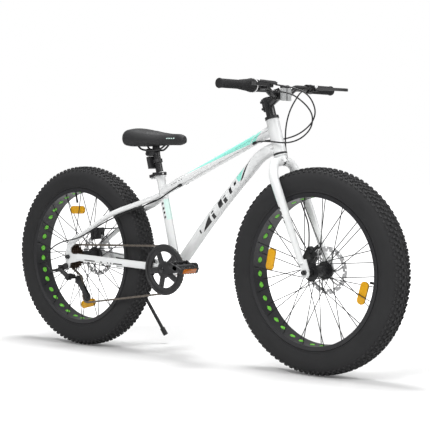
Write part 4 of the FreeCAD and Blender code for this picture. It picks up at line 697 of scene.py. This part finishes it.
def stuffed_saddle():
    source = frame["nodes"]["saddle"].data
    bm = bmesh.new()
    bm.from_mesh(source)
    bmesh.ops.remove_doubles(bm, verts=bm.verts, dist=2e-6)
    bmesh.ops.scale(bm, vec=SADDLE_SLIMMING, space=Matrix.Translation(-SADDLE_MIDDLE), verts=bm.verts)
    piece = finished("saddle_cover", bm, vinyl, "seat", ["saddle"], smooth=180)
    even = piece.modifiers.new("even_skin", "REMESH")
    even.mode = "VOXEL"
    even.voxel_size = 0.005
    soft = piece.modifiers.new("soft_edges", "SMOOTH")
    soft.factor = 0.5
    soft.iterations = 4
    graph = bpy.context.evaluated_depsgraph_get()
    skin = bpy.data.meshes.new_from_object(piece.evaluated_get(graph))
    piece.modifiers.clear()
    piece.data = skin
    rest = [vertex.co.copy() for vertex in skin.vertices]
    cloth = piece.modifiers.new("stuffing", "CLOTH")
    cloth.settings.use_pressure = True
    cloth.settings.uniform_pressure_force = 4
    cloth.settings.effector_weights.gravity = 0
    cloth.settings.quality = 6
    cloth.point_cache.frame_start = 1
    cloth.point_cache.frame_end = CLOTH_FRAMES
    for number in range(1, CLOTH_FRAMES + 1):
        bpy.context.scene.frame_set(number)
    graph = bpy.context.evaluated_depsgraph_get()
    blown = piece.evaluated_get(graph).to_mesh()
    moved = [vertex.co.copy() for vertex in blown.vertices]
    piece.evaluated_get(graph).to_mesh_clear()
    piece.modifiers.clear()
    bpy.context.scene.frame_set(1)
    for vertex, start, end in zip(skin.vertices, rest, moved):
        shift = end - start
        vertex.co = start + shift * min(1.0, MOST_STUFFING / max(shift.length, 1e-9))
    for vertex in skin.vertices:
        share = max(0.0, (vertex.co.z - SADDLE_FOOT) / SADDLE_DEPTH)
        nose = min(1.0, max(0.0, (vertex.co.x - NOSE_START) / NOSE_RAMP))
        rear = min(1.0, max(0.0, (REAR_START - vertex.co.x) / REAR_RAMP))
        vertex.co.z += share * (REAR_LIFT * rear - NOSE_DROP * nose) - SADDLE_DROP
    skin.materials.clear()
    skin.materials.append(vinyl.made)
    skin.shade_smooth()
    finer = piece.modifiers.new("finer", "SUBSURF")
    finer.levels = 1
    finer.render_levels = 1


stuffed_saddle()

# Saddle rails and the clamp that holds them, with its block behind the post
rails = bmesh.new()
for side in (1, -1):
    add(rails, tube_mesh("saddle_rail", [(-108, side * 6, 784), (-121, side * 8, 770), (-153, side * 14, 748.6),
                                         (-176, side * 22, 748.4), (-226, side * 22, 749), (-247, side * 24, 761),
                                         (-258, side * 27, 784)], 3.5))
finished("bent_saddle_rails", rails, moulded_black, "seat", ["saddle_rails"])
clamp = rounded_box(38, 44, 28, 6.0)
bmesh.ops.translate(clamp, verts=clamp.verts, vec=mm(-196, 0, 741))
add(clamp, rounded_box(22, 24, 30, 6.0), shifted(-180, 0, 757))
rod(clamp, mm(-205, -22, 736), mm(-205, -26, 736), 6.0, 5.4, 0.8)
finished("saddle_clamp_block", clamp, satin_black, "seat", ["saddle_clamp"])


# Grips and what is clamped on the bar and steerer
BAR_END = (384.64, 304, 957.85)
BAR_SHOULDER = (394.64, 78, 956.85)


def bar_way(side):
    end = mm(BAR_END[0], side * BAR_END[1], BAR_END[2])
    return (mm(BAR_SHOULDER[0], side * BAR_SHOULDER[1], BAR_SHOULDER[2]) - end).normalized()


def on_bar(side, inward, forward=0, lift=0):
    end = mm(BAR_END[0], side * BAR_END[1], BAR_END[2])
    return end + bar_way(side) * inward * MM + mm(forward, 0, lift)


def ribbed_grip(side, length):
    """A rubber sleeve with an end button, ribs along its length and an inner flange."""
    profile = [(0, -2), (14.2, -2), (16.2, -0.6), (16.8, 1.5), (16.4, 4.0), (15, 5.2)]
    place = 9.0
    while place < length - 12:
        profile += [(15.0, place), (15.0, place + 2.8), (14.0, place + 3.4), (14.0, place + 4.8)]
        place += 5.4
    profile += [(15, place), (15, length - 8), (16.6, length - 6.4), (16.6, length - 3), (15.4, length - 2),
                (11.2, length - 2), (11.2, 0), (0, 0)]
    return turned_along(profile, on_bar(side, 0), bar_way(side), 40)


grip_pair = ribbed_grip(-1, 106)
add(grip_pair, ribbed_grip(1, 134))
finished("ribbed_grips", grip_pair, grip_black, "steering", ["grips"])


def ridged_twist_grip():
    """A bulged sleeve with ridges along it for the thumb."""
    profile = [(11.2, 0), (16.2, 0), (16.8, 6), (17.6, 14), (18.4, 24), (19.6, 33), (21.6, 42), (22.6, 49),
               (22.4, 55.5), (11.2, 55.5)]
    steps = 40
    sleeve = lathe(profile, steps)
    odd = []
    for face in sleeve.faces:
        at = face.calc_center_median()
        sector = round(math.degrees(math.atan2(at.z, at.x)) / (360 / steps))
        if 17.0 * MM < math.hypot(at.x, at.z) and 5 * MM < at.y < 51 * MM and sector % 2:
            odd.append(face)
    bmesh.ops.inset_region(sleeve, faces=odd, thickness=0.5 * MM, depth=0.9 * MM)
    return placed(sleeve, lathe_place(on_bar(-1, 104.4), bar_way(-1)))


finished("ridged_twist_grip", ridged_twist_grip(), grip_black, "twist_grip", ["twist_grip"])
ring = turned_along([(11.2, 0), (23.0, 0), (23.8, 0.7), (23.8, 3.0), (23.0, 3.7), (11.2, 3.7)],
                    on_bar(-1, 161), bar_way(-1))
finished("shifter_trim_ring", ring, silver_trim, "steering")
shell = turned_along([(11.2, 0), (22.6, 0), (22.2, 4), (20.6, 11), (19.0, 17.6), (11.2, 17.6)],
                     on_bar(-1, 164.8), bar_way(-1))
finished("shifter_shell", shell, moulded_black, "steering")
cable_barrel = rods((mm(406, -122, 971), mm(436, -77, 966), 7.0, 6.4, 1.6),
                    (mm(434, -80, 966.4), mm(439, -72.5, 965.4), 4.6, 4.2, 1.0))
finished("right_brake_barrel", cable_barrel, moulded_black, "steering")
holder = bmesh.new()
for side in (-12, 14):
    add(holder, rounded_box(13, 15, 13, 4.0), shifted(414, side, 957))
add(holder, rounded_box(2.0, 3.4, 43, 0.6), shifted(423.8, 0, 931.9))
finished("front_reflector_holder", holder, moulded_black, "steering")
block = placed(rounded_box(14, 15, 46, 3.5), facing(on_steerer(594, -18), STEER_FORE, STEER_UP))
finished("stem_clamp_block", block, moulded_black, "steering")
bolts = rods(*[(on_steerer(height, -23, -11), on_steerer(height, -23, 11), 4.6, None, 0.8, 16)
               for height in (582, 606)])
finished("stem_clamp_bolts", bolts, dark_steel, "steering")
screw = rods((mm(432, 153, 964), mm(436.5, 149, 964.4), 5.6, 5.0, 0.8, 20))
finished("left_perch_screw", screw, silver_trim, "steering")


# Pedals
def pedal(label, body_at):
    """A moulded cage with a middle barrel, toothed edges and a reflector at each end."""
    place = Matrix.Translation(body_at) @ Matrix.Rotation(math.radians(22), 4, "Y")
    cage = bmesh.new()
    rod(cage, mm(0, -47, 0), mm(0, 47, 0), 10.5, None, 1.2)
    for end in (1, -1):
        add(cage, rounded_box(8, 94, 20, 2.2), shifted(end * 26.5, 0, 0))
        add(cage, rounded_box(58, 8, 20, 3.0), shifted(0, end * 43, 0))
        add(cage, rounded_box(50, 5, 12, 1.2), shifted(0, end * 18, 0))
        for level in (1, -1):
            for step in range(7):
                tooth_at = mm(end * 26.5, -39 + 13 * step, level * 10.6)
                add(cage, rounded_box(6, 6, 4, 0.8), Matrix.Translation(tooth_at))
    placed(cage, place)
    finished(f"pedal_cage_{label}", cage, moulded_black, f"pedal_{label}", [f"pedal_{label}"])
    lenses = bmesh.new()
    for end in (1, -1):
        add(lenses, rounded_box(3, 66, 16, 1.0), shifted(end * 30.4, 0, 0))
    placed(lenses, place)
    finished(f"pedal_lenses_{label}", lenses, orange, f"pedal_{label}")


pedal("right", around(CRANK, 152, 7.5, -132.6))
pedal("left", around(CRANK, -152, 7.5, 132.6))


# Chain: plates and rollers round the sprockets
CHAIN_SIDE = -63
CHAIN_PITCH = 12.7
# centre, radius and turning sense: chainring, tension pulley, guide pulley, freewheel
CHAIN_CIRCLES = [((-75, 320), 84.893, 1), ((-482, 195), 22.234, 1), ((-530, 255), 22.234, -1),
                 ((-555, 345), 44.468, 1)]


def chain_runs():
    """Straight runs and arcs of the chain's line, each as a length and a function from distance to place."""
    contacts = []
    for (a, ra, sa), (b, rb, sb) in zip(CHAIN_CIRCLES, CHAIN_CIRCLES[1:] + CHAIN_CIRCLES[:1]):
        gap = math.hypot(b[0] - a[0], b[1] - a[1])
        heading = math.atan2(b[1] - a[1], b[0] - a[0]) - math.asin((sa * ra - sb * rb) / gap)
        normal = Vector((-math.sin(heading), math.cos(heading)))
        contacts.append((Vector(a) + normal * sa * ra, Vector(b) + normal * sb * rb))
    runs = []
    for index, (first, last) in enumerate(contacts):
        runs.append(((last - first).length, "line", first, last))
        centre, radius, sense = CHAIN_CIRCLES[(index + 1) % len(CHAIN_CIRCLES)]
        leave = contacts[(index + 1) % len(contacts)][0]
        begin = math.atan2(last.y - centre[1], last.x - centre[0])
        sweep = (begin - math.atan2(leave.y - centre[1], leave.x - centre[0])) * sense % (2 * math.pi)
        runs.append((sweep * radius, "arc", (centre, radius, sense), begin))
    return runs


def chain_place(runs, distance):
    for length, kind, first, second in runs:
        if distance <= length:
            if kind == "line":
                return first.lerp(second, distance / length)
            centre, radius, sense = first
            angle = second - sense * distance / radius
            return Vector(centre) + Vector((math.cos(angle), math.sin(angle))) * radius
        distance -= length
    return runs[0][2].copy()


def linked_chain():
    """The chain in three lengths: round chainring and freewheel, along the bottom, and up from the guide pulley."""
    runs = chain_runs()
    total = sum(run[0] for run in runs)
    count = 2 * round(total / CHAIN_PITCH / 2)
    pins = [chain_place(runs, total * index / count) for index in range(count)]
    plate = [(-6.35, -3.8), (-9.2, -2.6), (-10.1, 0), (-9.2, 2.6), (-6.35, 3.8), (0, 2.5), (6.35, 3.8), (9.2, 2.6),
             (10.1, 0), (9.2, -2.6), (6.35, -3.8), (0, -2.5)]
    behind_guard = 40
    past_guide = sum(run[0] for run in runs[:4])
    near_freewheel = past_guide + runs[4][0] * 0.45
    lengths = {"upper": bmesh.new(), "lower": bmesh.new(), "rising": bmesh.new()}
    for index, (first, last) in enumerate(zip(pins, pins[1:] + pins[:1])):
        reached = total * index / count
        part = "upper"
        if behind_guard <= reached < near_freewheel:
            part = "lower" if reached < past_guide else "rising"
        links = lengths[part]
        heading = math.degrees(math.atan2(last.y - first.y, last.x - first.x))
        middle = (first + last) / 2
        spread = 3.5 if index % 2 else 2.3
        for side in (spread, -spread + 1.1):
            add(links, slab(plate, 1.1), side_place(mm(middle.x, CHAIN_SIDE + side, middle.y), heading))
        rod(links, mm(first.x, CHAIN_SIDE - 2.2, first.y), mm(first.x, CHAIN_SIDE + 2.2, first.y), 3.7, None, 0, 10)
    return lengths


chain_lengths = linked_chain()
finished("chain_upper_links", chain_lengths["upper"], chain_steel, "frame", ["chain"])
lower_links = finished("chain_lower_links", chain_lengths["lower"], chain_steel, None)
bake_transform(lower_links)
rising_links = finished("chain_rising_links", chain_lengths["rising"], chain_steel, None)
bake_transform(rising_links)


# Derailleur cage: two slim plates with the pulley bolts
def slim_cage():
    cage = bmesh.new()
    outline = [(-13, 6), (-9, 13), (1, 15), (11, 9), (54, -49), (58, -60), (53, -69), (43, -69), (38, -60), (-8, -3)]
    for face in (-56.8, -67.6):
        plate = slab(outline, 1.6)
        add(cage, plate, side_place(mm(-530, face, 255), 0))
    for place in (mm(-530, 0, 255), mm(-482, 0, 195)):
        rod(cage, place + mm(0, -70.6, 0), place + mm(0, -55, 0), 4.6, None, 0.6, 16)
        rod(cage, place + mm(0, -71.4, 0), place + mm(0, -69, 0), 6.4, None, 0.6, 16)
    return cage


finished("slim_cage", slim_cage(), satin_black, "derailleur_cage", ["derailleur_cage"],
         thin_bevel=0.0004)


# Derailleur: a fuller link and the barrel that takes the cable
link_cover = placed(rounded_box(52, 15, 15, 4.0), facing(mm(-570.5, -103, 284), mm(49, 0, -30), UP))
finished("derailleur_link_cover", link_cover, moulded_black, "derailleur_link")
barrel = rods((mm(-634, -104, 288.4), mm(-612, -104, 291), 4.4, 5.0, 0.8, 20),
              (mm(-613, -104, 291), mm(-604, -104, 292.5), 6.2, 6.2, 1.0, 20))
finished("derailleur_barrel", barrel, satin_black, "frame")


# Calipers: adjuster knobs and bolts on the wheel's side
def caliper_trim(name, centre, body):
    trim = bmesh.new()
    rod(trim, centre + mm(0, -9, 0), centre + mm(0, -13, 0), 13, 12, 1.0, 28)
    for step in (-16, 16):
        bolt = centre + mm(step * 0.6, -8, step)
        rod(trim, bolt, bolt + mm(0, -6, 0), 4.4, None, 0.8, 16)
    finished(name, trim, dark_steel, body)


caliper_trim("front_caliper_trim", mm(485.5, 52, 388.5), "steering")
caliper_trim("rear_caliper_trim", mm(-563.6, 67, 426.6), "frame")

# Seat lever: a level bar with its eye on the collar's pin
lever = placed(rounded_box(68, 6, 12, 2.4), facing(mm(-138, -27, 662.9), mm(91, 0, 4), UP))
add(lever, rounded_box(20, 6, 10, 1.2), facing(on_seat_tube(349.8, -14, -27), SEAT_FORE, SEAT_UP))
add(lever, turned_along([(4.2, 0), (7, 0), (7, 10.4), (4.2, 10.4)], on_seat_tube(344.6, -26, -21), SEAT_UP, 32))
finished("level_seat_lever", lever, satin_black, "seat_lever", ["seat_lever"])
tip = rods((mm(-117, -29.8, 664.2), mm(-117, -30.6, 664.2), 3.6, None, 0.2, 20))
finished("seat_lever_tip", tip, silver_trim, "seat_lever")


# Cables: smooth sleeves with a bare wire under the top tube
def from_bar(*offsets):
    """Points in millimetres, given from the middle of the bar."""
    return [(392.64 + forward, side, 931.85 + lift) for forward, side, lift in offsets]


def from_axle(*offsets):
    """Points in millimetres, given from the rear axle."""
    return [(-555 + forward, side, 345 + lift) for forward, side, lift in offsets]


SHIFT_FRONT = [(426.9, -117.6, 939.0), (457.5, -103.6, 937.0), *from_bar(
    (123, -104, -2), (160, -98, -24), (187, -85, -53), (192, -70, -82), (173, -55, -117), (133, -45, -145),
    (87, -38, -160), (43, -34, -163), (-5, -32, -158), (-48, -27, -156)), (322, -19, 776), (296, -15, 769.6)]
SHIFT_REAR = [(-48, -15, 621.5), (-82.9, -15, 606.5), (-120, -18, 585), (-151.5, -24, 566), (-220, -53, 538),
              (-344, -82, 494), *from_axle(
    (87, -102, 80), (35, -104, 67), (-12, -106, 59), (-61, -106, 41), (-100, -106, 15), (-115, -106, -20),
    (-101, -105, -51), (-77, -104, -57))]
BRAKE_FRONT = [(432, -72, 961), (441, -57, 959), *from_bar(
    (93, -42, 18), (139, -36, 0), (163, -32, -30), (169, -24, -64), (145, -10, -96), (99, 6, -122),
    (51, 22, -138), (1, 31, -148), (-48, 30, -152)), (322, 25, 780), (296, 22, 777)]
BRAKE_REAR = [(-48, 21, 629), (-82.9, 21, 614), (-118, 25, 608), (-151.5, 30, 602), (-220, 52, 570),
              (-344, 77, 530), *from_axle((125, 103, 113), (55, 103, 102), (-5, 96, 100)), (-591.7, 90.3, 440.6)]
FRONT_BRAKE = [(422.4, 127.9, 957.1), (433.3, 107.9, 957.0), *from_bar(
    (33, 78, 14), (27, 56, -12), (12, 40, -52), (2, 33, -100), (-4, 36, -150), (-8, 48, -206), (-8, 72, -256),
    (5, 92, -322), (33, 92, -388), (65, 88, -452)), (459, 75.3, 400)]


def ferrule(bm, at, to):
    """A short metal cap where a sleeve ends."""
    way = (Vector(to) - Vector(at)).normalized()
    rod(bm, Vector(at) * MM - way * 3 * MM, Vector(at) * MM + way * 11 * MM, 3.3, None, 0.5, 16)


def frame_cable(name, front, rear, node):
    """A cable from the bar to the rear: a front sleeve on no body, then a bare wire, a rear sleeve and stops on the
    frame.
    """
    sleeve = tube_mesh(f"{name}_front", front, 2.5)
    ferrule(sleeve, front[-1], front[-2])
    loop = finished(f"{name}_front_sleeve", sleeve, cable_black, None, [node])
    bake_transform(loop)
    sleeve = tube_mesh(f"{name}_rear", rear, 2.5)
    ferrule(sleeve, rear[0], rear[1])
    finished(f"{name}_rear_sleeve", sleeve, cable_black, "frame")
    wire = rods((Vector(front[-1]) * MM, Vector(rear[0]) * MM, 0.7, None, 0, 8))
    stops = bmesh.new()
    for place in (front[-1], rear[0]):
        at = Vector(place) * MM
        add(stops, rounded_box(14, 9, 9, 1.5), facing(at, Vector((0.9185, 0, 0.3954)), UP))
    finished(f"{name}_wire", wire, bright_steel, "frame")
    finished(f"{name}_stops", stops, satin_black, "frame")


frame_cable("shift", SHIFT_FRONT, SHIFT_REAR, "shift_cable")
frame_cable("rear_brake", BRAKE_FRONT, BRAKE_REAR, "rear_brake_cable")
front_sleeve = tube_mesh("front_brake", FRONT_BRAKE, 2.5)
finished("front_brake_sleeve", front_sleeve, cable_black, "steering", ["front_brake_cable"])

# Lens of the rear reflector
back_lens = placed(rounded_box(1.6, 44, 38, 0.6), facing(on_seat_tube(401, -31), SEAT_FORE, SEAT_UP))
finished("rear_lens", back_lens, red_lens, "seat")

# Chain guard: raised lips, arms and bolts, and the caps of the crank bolts
GUARD_ARMS = 5
lips = lathe([(82, -70.4), (92, -70.4), (92, -71.6), (90.5, -74.2), (84, -74.2), (82, -72.6)], 96)
inner_lip = lathe([(65.6, -70.4), (72, -70.4), (72, -72.4), (70.6, -73.4), (67, -73.4), (65.6, -72.0)], 96)
add(lips, inner_lip)
add(lips, lathe([(12, -70.4), (31, -70.4), (31, -72.6), (28.5, -74.2), (12, -74.2)], 48))
bmesh.ops.translate(lips, verts=lips.verts, vec=CRANK)
for index in range(GUARD_ARMS):
    turn = 42 + index * 360 / GUARD_ARMS
    add(lips, rounded_box(48, 23, 5, 2.2), side_place(around(CRANK, 45, turn, -71.8), turn))
    head = around(CRANK, 60, turn, -73.0)
    rod(lips, head, head - ACROSS * 3.0 * MM, 4.6, 4.2, 0.6, 16)
finished("guard_lips", lips, moulded_black, "crankset")
caps = bmesh.new()
for side in (1, -1):
    hub = CRANK + ACROSS * side * 83.4 * MM
    rod(caps, hub, hub + ACROSS * side * 3.0 * MM, 11.0, 10.0, 0.8)
finished("crank_caps", caps, gloss_black, "crankset")

# Stage: a pale floor that fades to white, a white world, three lamps and the camera
floor = bmesh.new()
bmesh.ops.create_grid(floor, x_segments=1, y_segments=1, size=30)
floor_mesh = bpy.data.meshes.new("floor")
floor.to_mesh(floor_mesh)
floor.free()
floor_piece = bpy.data.objects.new("floor", floor_mesh)
scene = bpy.context.scene
scene.collection.objects.link(floor_piece)
floor_finish = bpy.data.materials.new("pale_floor")
floor_finish.use_nodes = True
tree = floor_finish.node_tree
surface = tree.nodes["Principled BSDF"]
set_values(surface, {"Base Color": (0.72, 0.72, 0.72, 1), "Roughness": 0.9, "Specular IOR Level": 0.0,
                     "Emission Color": (1, 1, 1, 1)})
spot = tree.nodes.new("ShaderNodeTexCoord")
reach = tree.nodes.new("ShaderNodeVectorMath")
reach.operation = "LENGTH"
tree.links.new(spot.outputs["Object"], reach.inputs[0])
seen = tree.nodes.new("ShaderNodeLightPath")
glow = Field(tree, reach.outputs["Value"]).above(1.5, 1.2) * 0.93 + 0.09
glow = glow * Field(tree, seen.outputs["Is Camera Ray"])
tree.links.new(glow.socket, surface.inputs["Emission Strength"])
floor_mesh.materials.append(floor_finish)

world = bpy.data.worlds.new("studio")
scene.world = world
world.use_nodes = True
tree = world.node_tree
background = tree.nodes["Background"]
set_values(background, {"Color": (1, 1, 1, 1), "Strength": 0.40})
seen = tree.nodes.new("ShaderNodeBackground")
set_values(seen, {"Color": (1, 1, 1, 1), "Strength": 1.0})
path = tree.nodes.new("ShaderNodeLightPath")
choice = tree.nodes.new("ShaderNodeMixShader")
tree.links.new(path.outputs["Is Camera Ray"], choice.inputs["Fac"])
tree.links.new(background.outputs["Background"], choice.inputs[1])
tree.links.new(seen.outputs["Background"], choice.inputs[2])
tree.links.new(choice.outputs["Shader"], tree.nodes["World Output"].inputs["Surface"])


def lamp(name, at, target, size, power):
    data = bpy.data.lights.new(name, "AREA")
    data.shape = "DISK"
    data.size = size
    data.energy = power
    holder = bpy.data.objects.new(name, data)
    holder.location = at
    holder.rotation_euler = (Vector(target) - Vector(at)).to_track_quat("-Z", "Y").to_euler()
    scene.collection.objects.link(holder)


lamp("key_lamp", (1.6, -3.2, 3.4), (0, 0, 0.5), 2.0, 112)
lamp("fill_lamp", (3.6, 0.8, 2.0), (0, 0, 0.5), 2.4, 50)
lamp("top_lamp", (-0.3, 0.2, 4.0), (0, 0, 0.4), 1.6, 125)

camera_data = bpy.data.cameras.new("camera")
SENSOR_WIDTH = 36
FOCAL_LENGTH_IN_PIXELS = 1281.1
PICTURE_WIDTH_IN_PIXELS = 430
camera_data.sensor_width = SENSOR_WIDTH
camera_data.lens = SENSOR_WIDTH * FOCAL_LENGTH_IN_PIXELS / PICTURE_WIDTH_IN_PIXELS
camera = bpy.data.objects.new("camera", camera_data)
camera.location = mm(3058, -3415, 705)
pan = math.radians(40.85)
tilt = math.radians(-2.36)
look = Vector((-math.sin(pan) * math.cos(tilt), math.cos(pan) * math.cos(tilt), math.sin(tilt)))
camera.rotation_euler = look.to_track_quat("-Z", "Y").to_euler()
scene.collection.objects.link(camera)
scene.camera = camera
scene.view_settings.view_transform = "Standard"
